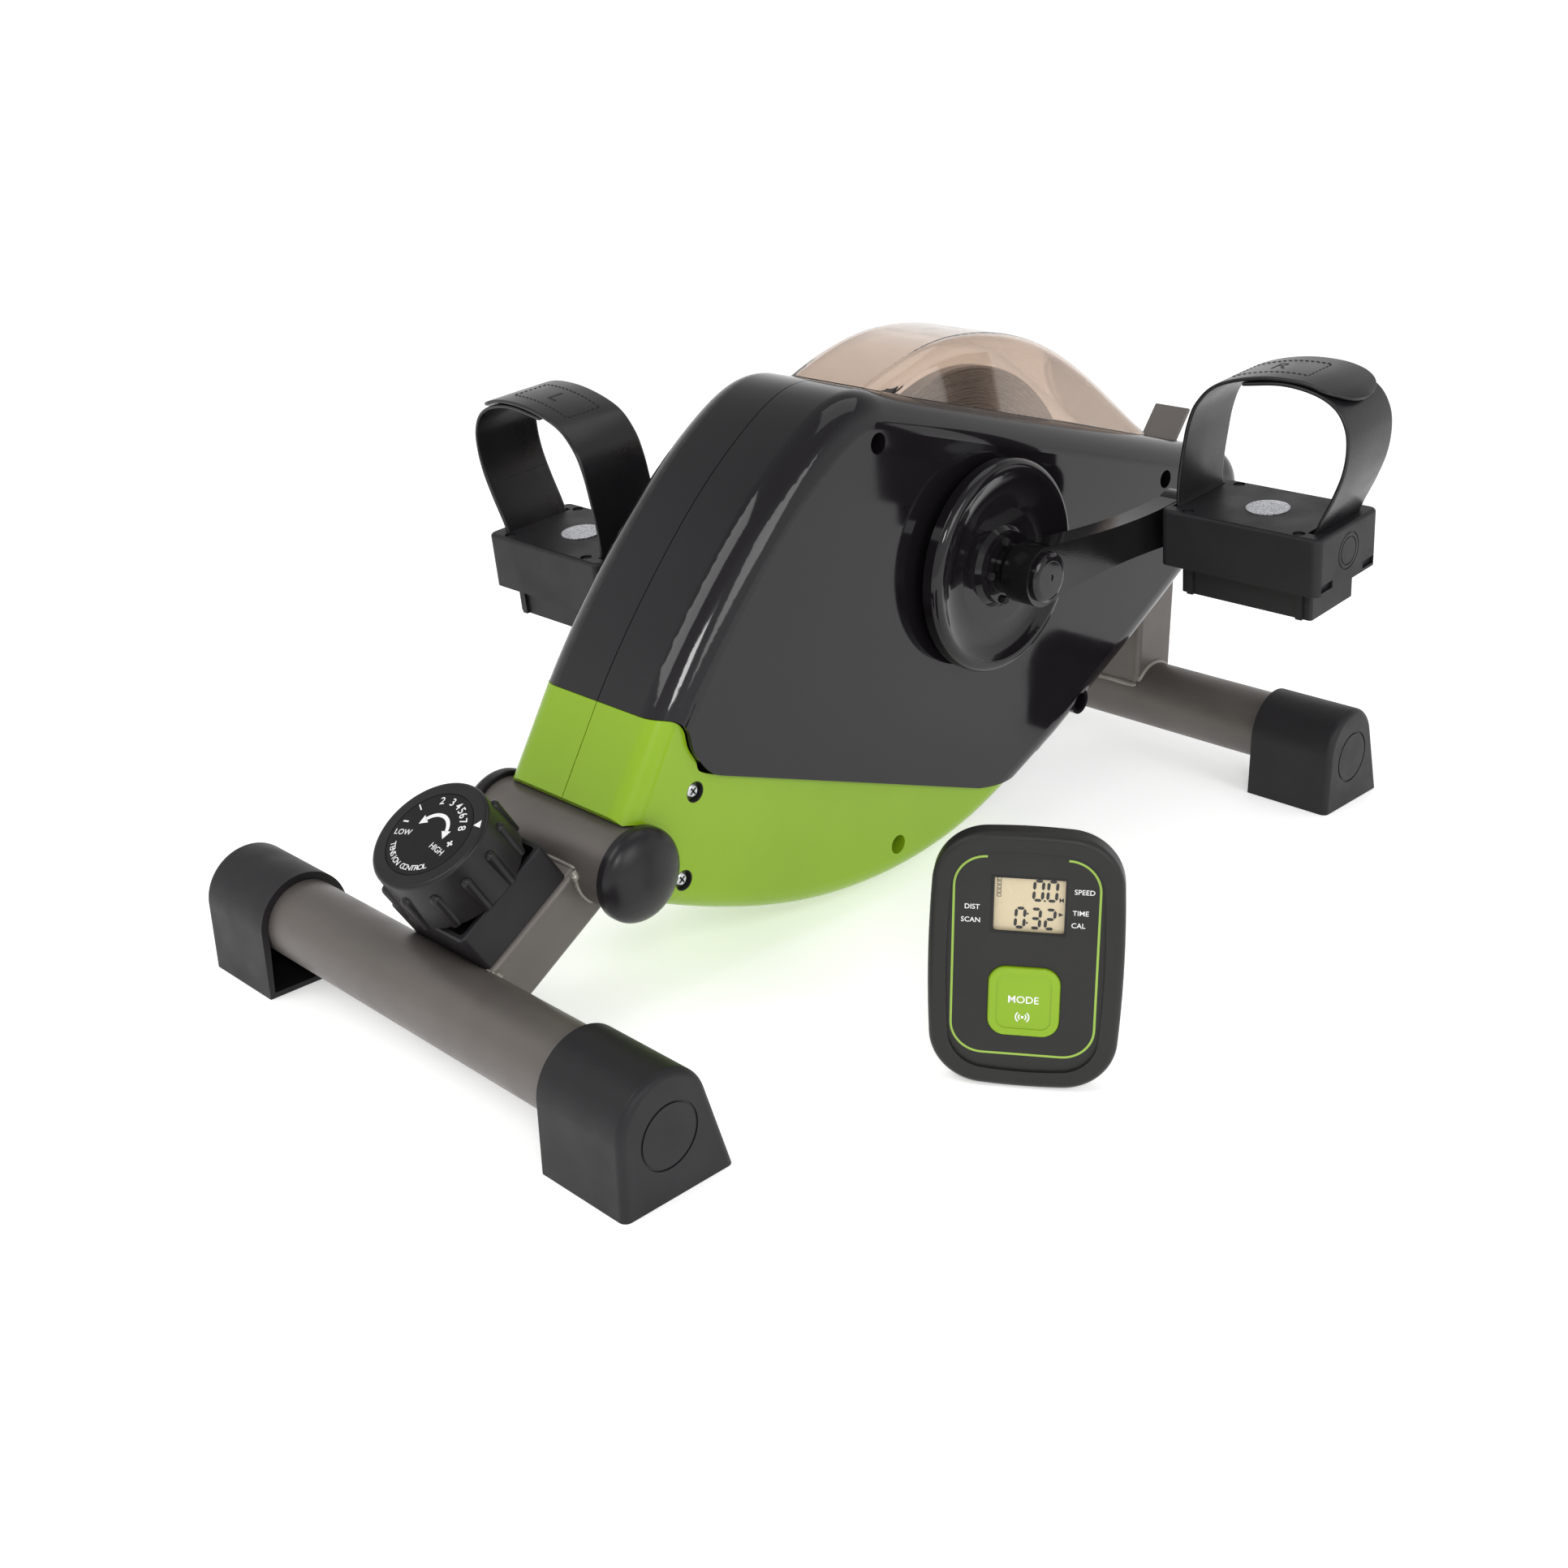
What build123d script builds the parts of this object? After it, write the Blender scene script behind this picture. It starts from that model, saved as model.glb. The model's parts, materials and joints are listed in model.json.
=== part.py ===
from build123d import *
import os
from math import atan2, cos, degrees, hypot, pi, radians, sin, tan

# Under-desk pedal exerciser, in millimetres: +X is the rider's right, +Y points away from the rider, +Z is up.
# Machine coordinates (x from the mid-plane, y from the front tube's axis, z from the floor) are moved to the
# part's own origin, the centre of its box on the floor, by these two values.
MID_X = -19.549
FRONT_Y = -309.38

# stabiliser tubes and feet
TUBE_R = 22.225
TUBE_WALL = 1.5
TUBE_HALF = 168.5
TUBE_Z = 39.2
REAR_Y = 595.4
FOOT_END = 173.0
FOOT_LENGTH = 57.3
FOOT_ARCH_R = 26.5
FOOT_FRONT, FOOT_REAR = -25.8, 41.0
FOOT_WALL = 3.0
FIT = 0.03

# neck, handle bar, spine and rear post
NECK_ANGLE = 33.0
NECK_WIDTH, NECK_HEIGHT, NECK_CENTRE = 64.0, 33.0, -9.0
BAR_Y, BAR_Z = 91.1, 89.7
BAR_HALF = 54.3
CAP_R, CAP_DOME = 25.4, 11.7
SPINE_SIZE, SPINE_END_Z = 40.0, 175.0
POST_FRONT, POST_SIZE, POST_TOP = 576.0, 40.0, 200.0
BOX_WALL = 2.0

# crank
CRANK_Y, CRANK_Z = 364.6, 191.5
CRANK_R = 120.4
CRANK_ANGLE = 6.2
AXLE_R = 7.5
HUB_R = 17.5
HUB_END = 97.0
DISC_R = 62.3
RUN = 0.05

# drive: crank pulley to jackshaft on the left, jackshaft to flywheel on the right
JACK_Y, JACK_Z, JACK_R = 487.0, 202.0, 6.0
DRIVE_R, JACK_SMALL_R = 72.0, 18.0
JACK_LARGE_R, HUB_PULLEY_R = 36.0, 20.0
LEFT_BELT = (-40.0, -31.0)
RIGHT_BELT = (34.0, 42.0)
FLANGE = 2.5
BELT_GAP, BELT_THICK = 0.3, 2.2
FLYWHEEL_R = 110.0
FLYWHEEL_X = (22.5, 31.5)

# brake arm that swings its magnets off the flywheel's rim
BRAKE_PIN_ANGLE, BRAKE_PIN_R = 215.0, 130.0
MAGNET_GAP = 2.5

# covers
COVER_HALF, LOWER_HALF = 51.6, 48.0
COVER_WALL = 2.5
SEAM = 0.3
TOP_EDGE_R, LOWER_EDGE_R = 19.0, 13.0
TOP_SLOPE = 14.8
DOME_HALF, DOME_WALL = 35.0, 2.2

# tension knob, measured along and square to the neck from the front tube's axis
KNOB_ALONG = 51.2
KNOB_BASE, KNOB_TOP = 36.0, 67.3
KNOB_TOP_R, KNOB_SKIRT_R = 32.2, 34.0
TRAY = (20.0, 82.0, 7.6, 33.0)
TRAY_HALF = 30.0
DIAL_R = 24.2

# pedals
PEDAL_X = 164.0
PEDAL_PITCH = 6.0
PEDAL_L, PEDAL_W, PEDAL_H = 103.6, 65.4, 34.0
SPINDLE_R = 6.0
STRAP_W, STRAP_T = 47.0, 2.2

# console
CONSOLE_X, CONSOLE_Y = 230.0, 179.5
CONSOLE_YAW, CONSOLE_LEAN = 35.0, 3.0
CONSOLE_W, CONSOLE_H, CONSOLE_T = 93.5, 133.0, 14.0

pieces = {}


def keep(name, part):
    """Label a finished piece and put it on the list of files to write."""
    part.label = name
    pieces[name] = part


def side(x):
    """Plane facing +X at x from the mid-plane: local x is machine y, local y is machine z."""
    return Plane(origin=(MID_X + x, FRONT_Y, 0), x_dir=(0, 1, 0), z_dir=(1, 0, 0))


def turning(y, z):
    """Plane through a crosswise axis at (y, z): local x is machine x, local y is the radius."""
    return Plane(origin=(MID_X, FRONT_Y + y, z), x_dir=(1, 0, 0), z_dir=(0, -1, 0))


def cross_axis(y, z):
    """The crosswise axis itself."""
    return Axis((MID_X, FRONT_Y + y, z), (1, 0, 0))


def ring(x0, x1, y, z, outer, inner=0.0):
    """A round bar or tube lying crosswise from x0 to x1."""
    with BuildPart() as made:
        with BuildSketch(side(x0)):
            with Locations((y, z)):
                Circle(outer)
                if inner:
                    Circle(inner, mode=Mode.SUBTRACT)
        extrude(amount=x1 - x0)
    return made.part


def turned(y, z, outline):
    """A solid of revolution about the crosswise axis at (y, z), from (x, radius) points."""
    with BuildPart() as made:
        with BuildSketch(turning(y, z)):
            with BuildLine():
                Polyline(*outline, close=True)
            make_face()
        revolve(axis=cross_axis(y, z))
    return made.part


def other_side(part):
    """The mirror image of a piece across the machine's mid-plane."""
    return mirror(part, about=Plane(origin=(MID_X, 0, 0), z_dir=(1, 0, 0)))


def polar(radius, angle):
    """Machine (y, z) of a point around the crank axis; the angle is from +Y towards +Z, in degrees."""
    return CRANK_Y + radius * cos(radians(angle)), CRANK_Z + radius * sin(radians(angle))


# ---------------------------------------------------------------- stabilisers and feet
for end, tube_y in (("front", 0.0), ("rear", REAR_Y)):
    keep(f"{end}_stabilizer_tube", ring(-TUBE_HALF, TUBE_HALF, tube_y, TUBE_Z, TUBE_R, TUBE_R - TUBE_WALL))


def foot(tube_y):
    """Right-hand moulded foot: an arch over the tube that flares to a flat base, open at its inner end."""
    with BuildPart() as made:
        with BuildSketch(side(FOOT_END - FOOT_LENGTH)):
            with BuildLine():
                CenterArc((tube_y, TUBE_Z), FOOT_ARCH_R, 0, 180)
                Line((tube_y + FOOT_FRONT, 0), (tube_y + FOOT_REAR, 0))
            make_hull()
        extrude(amount=FOOT_LENGTH)
        fillet(made.faces().sort_by(Axis.X)[-1].edges().filter_by(Axis.Y, reverse=True), radius=4.0)
        with BuildSketch(side(FOOT_END - FOOT_LENGTH)):
            with BuildLine():
                CenterArc((tube_y, TUBE_Z), TUBE_R + FIT, 0, 180)
                Line(
                    (tube_y + FOOT_FRONT + FOOT_WALL, FOOT_WALL),
                    (tube_y + FOOT_REAR - FOOT_WALL - 2.0, FOOT_WALL),
                )
            make_hull()
        extrude(amount=FOOT_LENGTH - 4.0, mode=Mode.SUBTRACT)
        with BuildSketch(side(FOOT_END)):
            with Locations((tube_y + 2.0, TUBE_Z - 6.0)):
                Circle(17.0)
                Circle(15.8, mode=Mode.SUBTRACT)
        extrude(amount=-0.7, mode=Mode.SUBTRACT)
    return made.part


for end, tube_y in (("front", 0.0), ("rear", REAR_Y)):
    right_foot = foot(tube_y)
    keep(f"{end}_left_foot", other_side(right_foot))
    keep(f"{end}_right_foot", right_foot)

# ---------------------------------------------------------------- neck, handle bar, spine, post
NECK_DIR = (0, cos(radians(NECK_ANGLE)), sin(radians(NECK_ANGLE)))
NECK_UP = (0, -sin(radians(NECK_ANGLE)), cos(radians(NECK_ANGLE)))


def neck_point(along, up):
    """Machine (y, z) of a point given along the neck and square to it."""
    return along * NECK_DIR[1] + up * NECK_UP[1], TUBE_Z + along * NECK_DIR[2] + up * NECK_UP[2]


def neck_cut(along):
    """Plane square to the neck: local x is -X, local y is away from the neck's top."""
    y, z = neck_point(along, 0)
    return Plane(origin=(MID_X, FRONT_Y + y, z), x_dir=(-1, 0, 0), z_dir=NECK_DIR)


def neck_level(up):
    """Plane parallel to the neck's top, under the knob's centre: local x is +X, local y is along the neck."""
    y, z = neck_point(KNOB_ALONG, up)
    return Plane(origin=(MID_X, FRONT_Y + y, z), x_dir=(1, 0, 0), z_dir=NECK_UP)


SPINE_ANGLE = degrees(atan2(SPINE_END_Z - BAR_Z, POST_FRONT - BAR_Y))
SPINE_DIR = (0, cos(radians(SPINE_ANGLE)), sin(radians(SPINE_ANGLE)))
SPINE_LENGTH = hypot(SPINE_END_Z - BAR_Z, POST_FRONT - BAR_Y)


def spine_top(y):
    """Height of the spine tube's top face at machine y."""
    return BAR_Z + (y - BAR_Y) * tan(radians(SPINE_ANGLE)) + SPINE_SIZE / 2 / cos(radians(SPINE_ANGLE))


# Brake cable: from beside the knob's drum, down into the neck, through the bar and the spine, out to the arm.
CABLE_R = 2.0
CABLE_BORE = 3.2
cable_points = [
    (0.0, *neck_point(76.0, 20.0)),
    (0.0, *neck_point(76.0, -9.0)),
    (0.0, *neck_point(128.0, -9.0)),
    (0.0, 190.0, 108.0),
    (27.0, 232.0, 112.0),
]
cable_line = [(MID_X + x, FRONT_Y + y, z) for x, y, z in cable_points]


def cable(radius):
    """A round rod along the cable's route."""
    with BuildPart() as made:
        with BuildLine() as route:
            FilletPolyline(*cable_line, radius=[11.0, 60.0, 50.0])
        with BuildSketch(Plane(origin=route.line @ 0, z_dir=route.line % 0)):
            Circle(radius)
        sweep(path=route.line)
    return made.part


cable_bore = cable(CABLE_BORE)
front_solid = ring(-200, 200, 0.0, TUBE_Z, TUBE_R + FIT)
bar_solid = ring(-100, 100, BAR_Y, BAR_Z, TUBE_R + FIT)
rear_solid = ring(-200, 200, REAR_Y, TUBE_Z, TUBE_R + FIT)

with BuildPart() as neck_tube:
    with BuildSketch(neck_cut(6.0)):
        with Locations((0, NECK_CENTRE)):
            RectangleRounded(NECK_WIDTH, NECK_HEIGHT, 4.0)
            RectangleRounded(NECK_WIDTH - 2 * BOX_WALL, NECK_HEIGHT - 2 * BOX_WALL, 2.0, mode=Mode.SUBTRACT)
    extrude(amount=98.0)
    for cutter in (front_solid, bar_solid, cable_bore):
        add(cutter, mode=Mode.SUBTRACT)
keep("neck_tube", neck_tube.part)

with BuildPart() as handle_bar:
    add(ring(-BAR_HALF, BAR_HALF, BAR_Y, BAR_Z, TUBE_R, TUBE_R - TUBE_WALL))
    add(cable_bore, mode=Mode.SUBTRACT)
keep("handle_bar", handle_bar.part)

# end cap: a plug in the bore, a lip over the tube and a low dome
with BuildPart() as end_cap:
    with BuildSketch(turning(BAR_Y, BAR_Z)):
        with BuildLine():
            Polyline((BAR_HALF - 14, 0), (BAR_HALF - 14, TUBE_R - TUBE_WALL - FIT), (BAR_HALF + FIT, TUBE_R - TUBE_WALL - FIT))
            Polyline(
                (BAR_HALF + FIT, TUBE_R - TUBE_WALL - FIT),
                (BAR_HALF + FIT, TUBE_R + FIT),
                (BAR_HALF - 3.0, TUBE_R + FIT),
                (BAR_HALF - 3.0, CAP_R - 0.6),
                (BAR_HALF - 2.2, CAP_R),
                (BAR_HALF + 0.8, CAP_R),
            )
            EllipticalCenterArc((BAR_HALF + 0.8, 0), CAP_DOME, CAP_R, start_angle=0, arc_size=90)
            Line((BAR_HALF + 0.8 + CAP_DOME, 0), (BAR_HALF - 14, 0))
        make_face()
    revolve(axis=cross_axis(BAR_Y, BAR_Z))
keep("handle_end_caps", Compound([end_cap.part.solid(), other_side(end_cap.part).solid()]))

with BuildPart() as spine_tube:
    spine_start = Plane(origin=(MID_X, FRONT_Y + BAR_Y, BAR_Z), x_dir=(-1, 0, 0), z_dir=SPINE_DIR)
    with BuildSketch(spine_start):
        RectangleRounded(SPINE_SIZE, SPINE_SIZE, 4.0)
        RectangleRounded(SPINE_SIZE - 2 * BOX_WALL, SPINE_SIZE - 2 * BOX_WALL, 2.0, mode=Mode.SUBTRACT)
    extrude(amount=SPINE_LENGTH + 5)
    add(bar_solid, mode=Mode.SUBTRACT)
    add(cable_bore, mode=Mode.SUBTRACT)
    with BuildSketch(Plane(origin=(MID_X, FRONT_Y + POST_FRONT - FIT, 150), x_dir=(1, 0, 0), z_dir=(0, 1, 0))):
        Rectangle(80, 120)
    extrude(amount=40, mode=Mode.SUBTRACT)
keep("spine_tube", spine_tube.part)

with BuildPart() as rear_post:
    with BuildSketch(Plane(origin=(MID_X, FRONT_Y + POST_FRONT + POST_SIZE / 2, TUBE_Z))):
        RectangleRounded(POST_SIZE, POST_SIZE, 4.0)
        RectangleRounded(POST_SIZE - 2 * BOX_WALL, POST_SIZE - 2 * BOX_WALL, 2.0, mode=Mode.SUBTRACT)
    extrude(amount=POST_TOP - TUBE_Z)
    add(rear_solid, mode=Mode.SUBTRACT)
keep("rear_post", rear_post.part)

# ---------------------------------------------------------------- bearings and brackets on the spine
SHELL_X = (-24.0, 16.0)
SHELL_R, SEAT_R = 21.0, 15.5
keep("bottom_bracket_shell", ring(*SHELL_X, CRANK_Y, CRANK_Z, SHELL_R, SEAT_R))
bearing_width = 9.0
keep(
    "crank_bearings",
    Compound([
        ring(x0, x0 + bearing_width, CRANK_Y, CRANK_Z, SEAT_R - FIT, AXLE_R + RUN).solid()
        for x0 in (SHELL_X[0], SHELL_X[1] - bearing_width)
    ]),
)

saddles = []
for x0 in (-17.0, 9.0):
    with BuildPart() as saddle:
        with BuildSketch(side(x0)):
            with BuildLine():
                Polyline(
                    (338, spine_top(338) + FIT),
                    (392, spine_top(392) + FIT),
                    (381, CRANK_Z),
                    (348, CRANK_Z),
                    close=True,
                )
            make_face()
            with Locations((CRANK_Y, CRANK_Z)):
                Circle(SHELL_R + FIT, mode=Mode.SUBTRACT)
        extrude(amount=4.0)
    saddles.append(saddle.part.solid())
CARRIER_HALF = 18.0
with BuildPart() as jackshaft_carrier:
    for x0 in (-CARRIER_HALF, CARRIER_HALF - 4.0):
        with BuildSketch(side(x0)):
            with BuildLine():
                Polyline(
                    (468, spine_top(468) + FIT),
                    (506, spine_top(506) + FIT),
                    (497, JACK_Z),
                    (477, JACK_Z),
                    close=True,
                )
            make_face()
            with Locations((JACK_Y, JACK_Z)):
                Circle(11.0)
        extrude(amount=4.0)
    add(ring(-CARRIER_HALF, CARRIER_HALF, JACK_Y, JACK_Z, 9.5))
    add(ring(-CARRIER_HALF - 1, CARRIER_HALF + 1, JACK_Y, JACK_Z, JACK_R + RUN), mode=Mode.SUBTRACT)
keep("spine_brackets", Compound([*saddles, jackshaft_carrier.part.solid()]))

# ---------------------------------------------------------------- pulleys, jackshaft, flywheel
def pulley_outline(x0, x1, radius, bore, hub):
    """(x, radius) outline of a flanged belt wheel with a thin web."""
    middle = (x0 + x1) / 2
    return [
        (x0, bore), (x0, hub), (middle - 1.5, hub + 1.5), (middle - 1.5, radius - 6), (x0, radius - 4),
        (x0, radius + FLANGE), (x0 + 1.0, radius + FLANGE), (x0 + 1.2, radius),
        (x1 - 1.2, radius), (x1 - 1.0, radius + FLANGE), (x1, radius + FLANGE),
        (x1, radius - 4), (middle + 1.5, radius - 6), (middle + 1.5, hub + 1.5), (x1, hub), (x1, bore),
    ]


with BuildPart() as drive_pulley:
    add(turned(CRANK_Y, CRANK_Z, pulley_outline(*LEFT_BELT, DRIVE_R, AXLE_R + FIT, 14.0)))
    with BuildSketch(Plane(origin=(MID_X + LEFT_BELT[0] - 1, FRONT_Y + CRANK_Y, CRANK_Z), z_dir=(1, 0, 0))):
        with PolarLocations(41.0, 6):
            Circle(14.0)
    extrude(amount=12, mode=Mode.SUBTRACT)
keep("drive_pulley", drive_pulley.part)

keep(
    "jackshaft",
    turned(JACK_Y, JACK_Z, [
        (-43, 0), (-43, JACK_R), (LEFT_BELT[0], JACK_R), (LEFT_BELT[0], JACK_SMALL_R + FLANGE),
        (LEFT_BELT[0] + 1.0, JACK_SMALL_R + FLANGE), (LEFT_BELT[0] + 1.2, JACK_SMALL_R),
        (LEFT_BELT[1] - 1.2, JACK_SMALL_R), (LEFT_BELT[1] - 1.0, JACK_SMALL_R + FLANGE),
        (LEFT_BELT[1], JACK_SMALL_R + FLANGE), (LEFT_BELT[1], JACK_R), (44, JACK_R), (44, 0),
    ]),
)
keep("jackshaft_pulley", turned(JACK_Y, JACK_Z, pulley_outline(*RIGHT_BELT, JACK_LARGE_R, JACK_R + FIT, 11.0)))

BEARING_R = 14.0
keep(
    "flywheel",
    turned(CRANK_Y, CRANK_Z, [
        (23, BEARING_R + FIT), (23, 18), (25, 20), (25, 90), (FLYWHEEL_X[0], 94), (FLYWHEEL_X[0], FLYWHEEL_R - 1),
        (FLYWHEEL_X[0] + 1, FLYWHEEL_R), (FLYWHEEL_X[1] - 1, FLYWHEEL_R), (FLYWHEEL_X[1], FLYWHEEL_R - 1),
        (FLYWHEEL_X[1], 24), (FLYWHEEL_X[1] + 1, HUB_PULLEY_R), (RIGHT_BELT[0], HUB_PULLEY_R),
        (RIGHT_BELT[1] - 1.2, HUB_PULLEY_R), (RIGHT_BELT[1] - 1.0, HUB_PULLEY_R + FLANGE),
        (RIGHT_BELT[1], HUB_PULLEY_R + FLANGE), (RIGHT_BELT[1], BEARING_R + FIT),
    ]),
)
keep(
    "flywheel_bearings",
    Compound([
        ring(x0, x0 + 8.0, CRANK_Y, CRANK_Z, BEARING_R, AXLE_R + RUN).solid() for x0 in (23.5, 33.5)
    ]),
)


def belt(x0, x1, big, small):
    """A flat belt around two wheels, each given as (y, z, radius)."""
    with BuildPart() as made:
        for grow, mode in ((BELT_GAP + BELT_THICK, Mode.ADD), (BELT_GAP, Mode.SUBTRACT)):
            with BuildSketch(side(x0)):
                with BuildLine():
                    for y, z, radius in (big, small):
                        CenterArc((y, z), radius + grow, 0, 360)
                make_hull()
            extrude(amount=x1 - x0, mode=mode)
    return made.part


primary_belt = belt(
    LEFT_BELT[0] + 1.6, LEFT_BELT[1] - 1.6, (CRANK_Y, CRANK_Z, DRIVE_R), (JACK_Y, JACK_Z, JACK_SMALL_R)
)
secondary_belt = belt(
    RIGHT_BELT[0] + 1.6, RIGHT_BELT[1] - 1.6, (JACK_Y, JACK_Z, JACK_LARGE_R), (CRANK_Y, CRANK_Z, HUB_PULLEY_R)
)
keep("drive_belts", Compound([primary_belt.solid(), secondary_belt.solid()]))

# ---------------------------------------------------------------- magnetic brake
pin_y, pin_z = polar(BRAKE_PIN_R, BRAKE_PIN_ANGLE)
keep("brake_pivot_pin", turned(pin_y, pin_z, [(20.0 + FIT, 0), (20.0 + FIT, 7), (22.4, 7), (22.4, 4), (34, 4), (34, 0)]))
magnet_inner = FLYWHEEL_R + MAGNET_GAP
with BuildPart() as brake_arm:
    with BuildSketch(side(23.0)):
        with BuildLine():
            inner_arc = CenterArc((CRANK_Y, CRANK_Z), magnet_inner + 4.0, 219, 43)
            outer_arc = CenterArc((CRANK_Y, CRANK_Z), magnet_inner + 8.0, 219, 43)
            Line(inner_arc @ 0, outer_arc @ 0)
            Line(inner_arc @ 1, outer_arc @ 1)
        make_face()
        with Locations((pin_y, pin_z)):
            Circle(10.0)
        with Locations(polar(BRAKE_PIN_R - 4, BRAKE_PIN_ANGLE + 4)):
            Circle(7.0)
        with Locations((pin_y, pin_z)):
            Circle(4.0 + RUN, mode=Mode.SUBTRACT)
    extrude(amount=8.0)
keep("brake_arm", brake_arm.part)
magnets = []
for start in (226, 236, 246, 256):
    with BuildPart() as magnet:
        with BuildSketch(side(23.5)):
            with BuildLine():
                near = CenterArc((CRANK_Y, CRANK_Z), magnet_inner, start, 6)
                far = CenterArc((CRANK_Y, CRANK_Z), magnet_inner + 4.0 - FIT, start, 6)
                Line(near @ 0, far @ 0)
                Line(near @ 1, far @ 1)
            make_face()
        extrude(amount=7.0)
    magnets.append(magnet.part.solid())
keep("brake_magnets", Compound(magnets))
keep("brake_cable", cable(CABLE_R))

# ---------------------------------------------------------------- crankset
keep("crank_axle", ring(-92.0, 92.0, CRANK_Y, CRANK_Z, AXLE_R))

ARM_PLANE = Plane(
    origin=(MID_X, FRONT_Y + CRANK_Y, CRANK_Z),
    x_dir=(0, cos(radians(CRANK_ANGLE)), sin(radians(CRANK_ANGLE))),
    z_dir=(1, 0, 0),
)
BAND_PLANE = Plane(
    origin=(MID_X, FRONT_Y + CRANK_Y, CRANK_Z),
    x_dir=(0, cos(radians(CRANK_ANGLE)), sin(radians(CRANK_ANGLE))),
    z_dir=(0, sin(radians(CRANK_ANGLE)), -cos(radians(CRANK_ANGLE))),
)
EYE_R = 15.0
ARM_INNER, ARM_OUTER = 78.0, 108.5
with BuildPart() as crank_arm:
    with BuildSketch(ARM_PLANE.offset(ARM_INNER)):
        with BuildLine():
            upper = Spline((6, 16.8), (34, 13.4), (82, 11.6), (112, 13.2))
            lower = Spline((6, -16.8), (34, -13.4), (82, -11.6), (112, -13.2))
            Line(upper @ 0, lower @ 0)
            Line(upper @ 1, lower @ 1)
        make_face()
        Circle(HUB_R)
        with Locations((CRANK_R, 0)):
            Circle(EYE_R)
    extrude(amount=ARM_OUTER - ARM_INNER)
    with BuildSketch(BAND_PLANE):
        with BuildLine():
            inner = Spline((-25, 81), (25, 81.5), (70, 89.5), (104, 94.5), (145, 95))
            outer = Spline((-25, HUB_END), (22, HUB_END), (70, 103.5), (104, 108), (145, 108))
            Line(inner @ 0, outer @ 0)
            Line(inner @ 1, outer @ 1)
        make_face()
    extrude(amount=30, both=True, mode=Mode.INTERSECT)
    hub_outline = [(70.8, 0), (70.8, 14.6), (74, 14.6), (78, HUB_R - 0.6), (85, HUB_R - 0.6), (85, 0)]
    add(turned(CRANK_Y, CRANK_Z, hub_outline))
    add(ring(60, 92 + FIT, CRANK_Y, CRANK_Z, AXLE_R + FIT), mode=Mode.SUBTRACT)
    add(ring(95.6, 120, CRANK_Y, CRANK_Z, 14.4), mode=Mode.SUBTRACT)
    with BuildSketch(ARM_PLANE.offset(ARM_INNER)):
        with Locations((CRANK_R, 0)):
            Circle(SPINDLE_R + FIT)
    extrude(amount=40, mode=Mode.SUBTRACT)


def opposite(part):
    """The left crank's copy of a right-hand crank piece: mirrored, then turned half a turn."""
    return other_side(part).rotate(cross_axis(CRANK_Y, CRANK_Z), 180)


keep("right_crank_arm", crank_arm.part)
keep("left_crank_arm", opposite(crank_arm.part))

# round dished cover behind each crank hub, held by five small screws
DISC_SCREW_AT = 18.2
DISC_BACK = 57.5
with BuildPart() as crank_disc:
    with BuildSketch(turning(CRANK_Y, CRANK_Z)):
        with BuildLine():
            Polyline((DISC_BACK, 8.0), (DISC_BACK, DISC_R - 1.5), (DISC_BACK + 1, DISC_R), (64.6, DISC_R))
            ThreePointArc((64.6, DISC_R), (68.2, DISC_R - 3.4), (67.6, DISC_R - 7.6))
            Spline((67.6, DISC_R - 7.6), (64.8, DISC_R - 15), (64.0, 34))
            Polyline((64.0, 34), (64.2, 24), (67.0, 21.5), (70.5, 21), (70.5, 8.0), (DISC_BACK, 8.0))
        make_face()
    revolve(axis=cross_axis(CRANK_Y, CRANK_Z))
    with BuildSketch(Plane(origin=(MID_X + 56, FRONT_Y + CRANK_Y, CRANK_Z), z_dir=(1, 0, 0))):
        with PolarLocations(DISC_SCREW_AT, 5, start_angle=20):
            Circle(1.6 + FIT)
    extrude(amount=20, mode=Mode.SUBTRACT)

with BuildPart() as disc_screws:
    with BuildSketch(Plane(origin=(MID_X + 70.5 + FIT, FRONT_Y + CRANK_Y, CRANK_Z), z_dir=(1, 0, 0))):
        with PolarLocations(DISC_SCREW_AT, 5, start_angle=20):
            RegularPolygon(2.4, 6)
    extrude(amount=2.4)
    with BuildSketch(Plane(origin=(MID_X + 62, FRONT_Y + CRANK_Y, CRANK_Z), z_dir=(1, 0, 0))):
        with PolarLocations(DISC_SCREW_AT, 5, start_angle=20):
            Circle(1.6)
    extrude(amount=9)
keep("crank_disc_screws", Compound([*disc_screws.solids(), *opposite(disc_screws.part).solids()]))

with BuildPart() as hub_cap:
    with BuildSketch(turning(CRANK_Y, CRANK_Z)):
        with BuildLine():
            Polyline((95.6 + FIT, 0), (95.6 + FIT, 14.3), (98.0, 14.3))
            Spline((98.0, 14.3), (99.2, 12.8), (99.8, 9.5))
            Polyline((99.8, 9.5), (100.0, 0), (95.6 + FIT, 0))
        make_face()
    revolve(axis=cross_axis(CRANK_Y, CRANK_Z))
crank_trim = [crank_disc.part, hub_cap.part, opposite(crank_disc.part), opposite(hub_cap.part)]
keep("crank_covers", Compound([piece.solid() for piece in crank_trim]))

magnet_y, magnet_z = polar(62.0, 120)
keep("speed_magnet", ring(LEFT_BELT[0] - 2.5, LEFT_BELT[0] + 3.0 - FIT, magnet_y, magnet_z, 4.0))

# ---------------------------------------------------------------- pedals
pedal_y, pedal_z = polar(CRANK_R, CRANK_ANGLE)
left_y, left_z = polar(CRANK_R, CRANK_ANGLE + 180)
PITCH_UP = (0, -sin(radians(PEDAL_PITCH)), cos(radians(PEDAL_PITCH)))
PITCH_REAR = (0, cos(radians(PEDAL_PITCH)), sin(radians(PEDAL_PITCH)))


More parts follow.
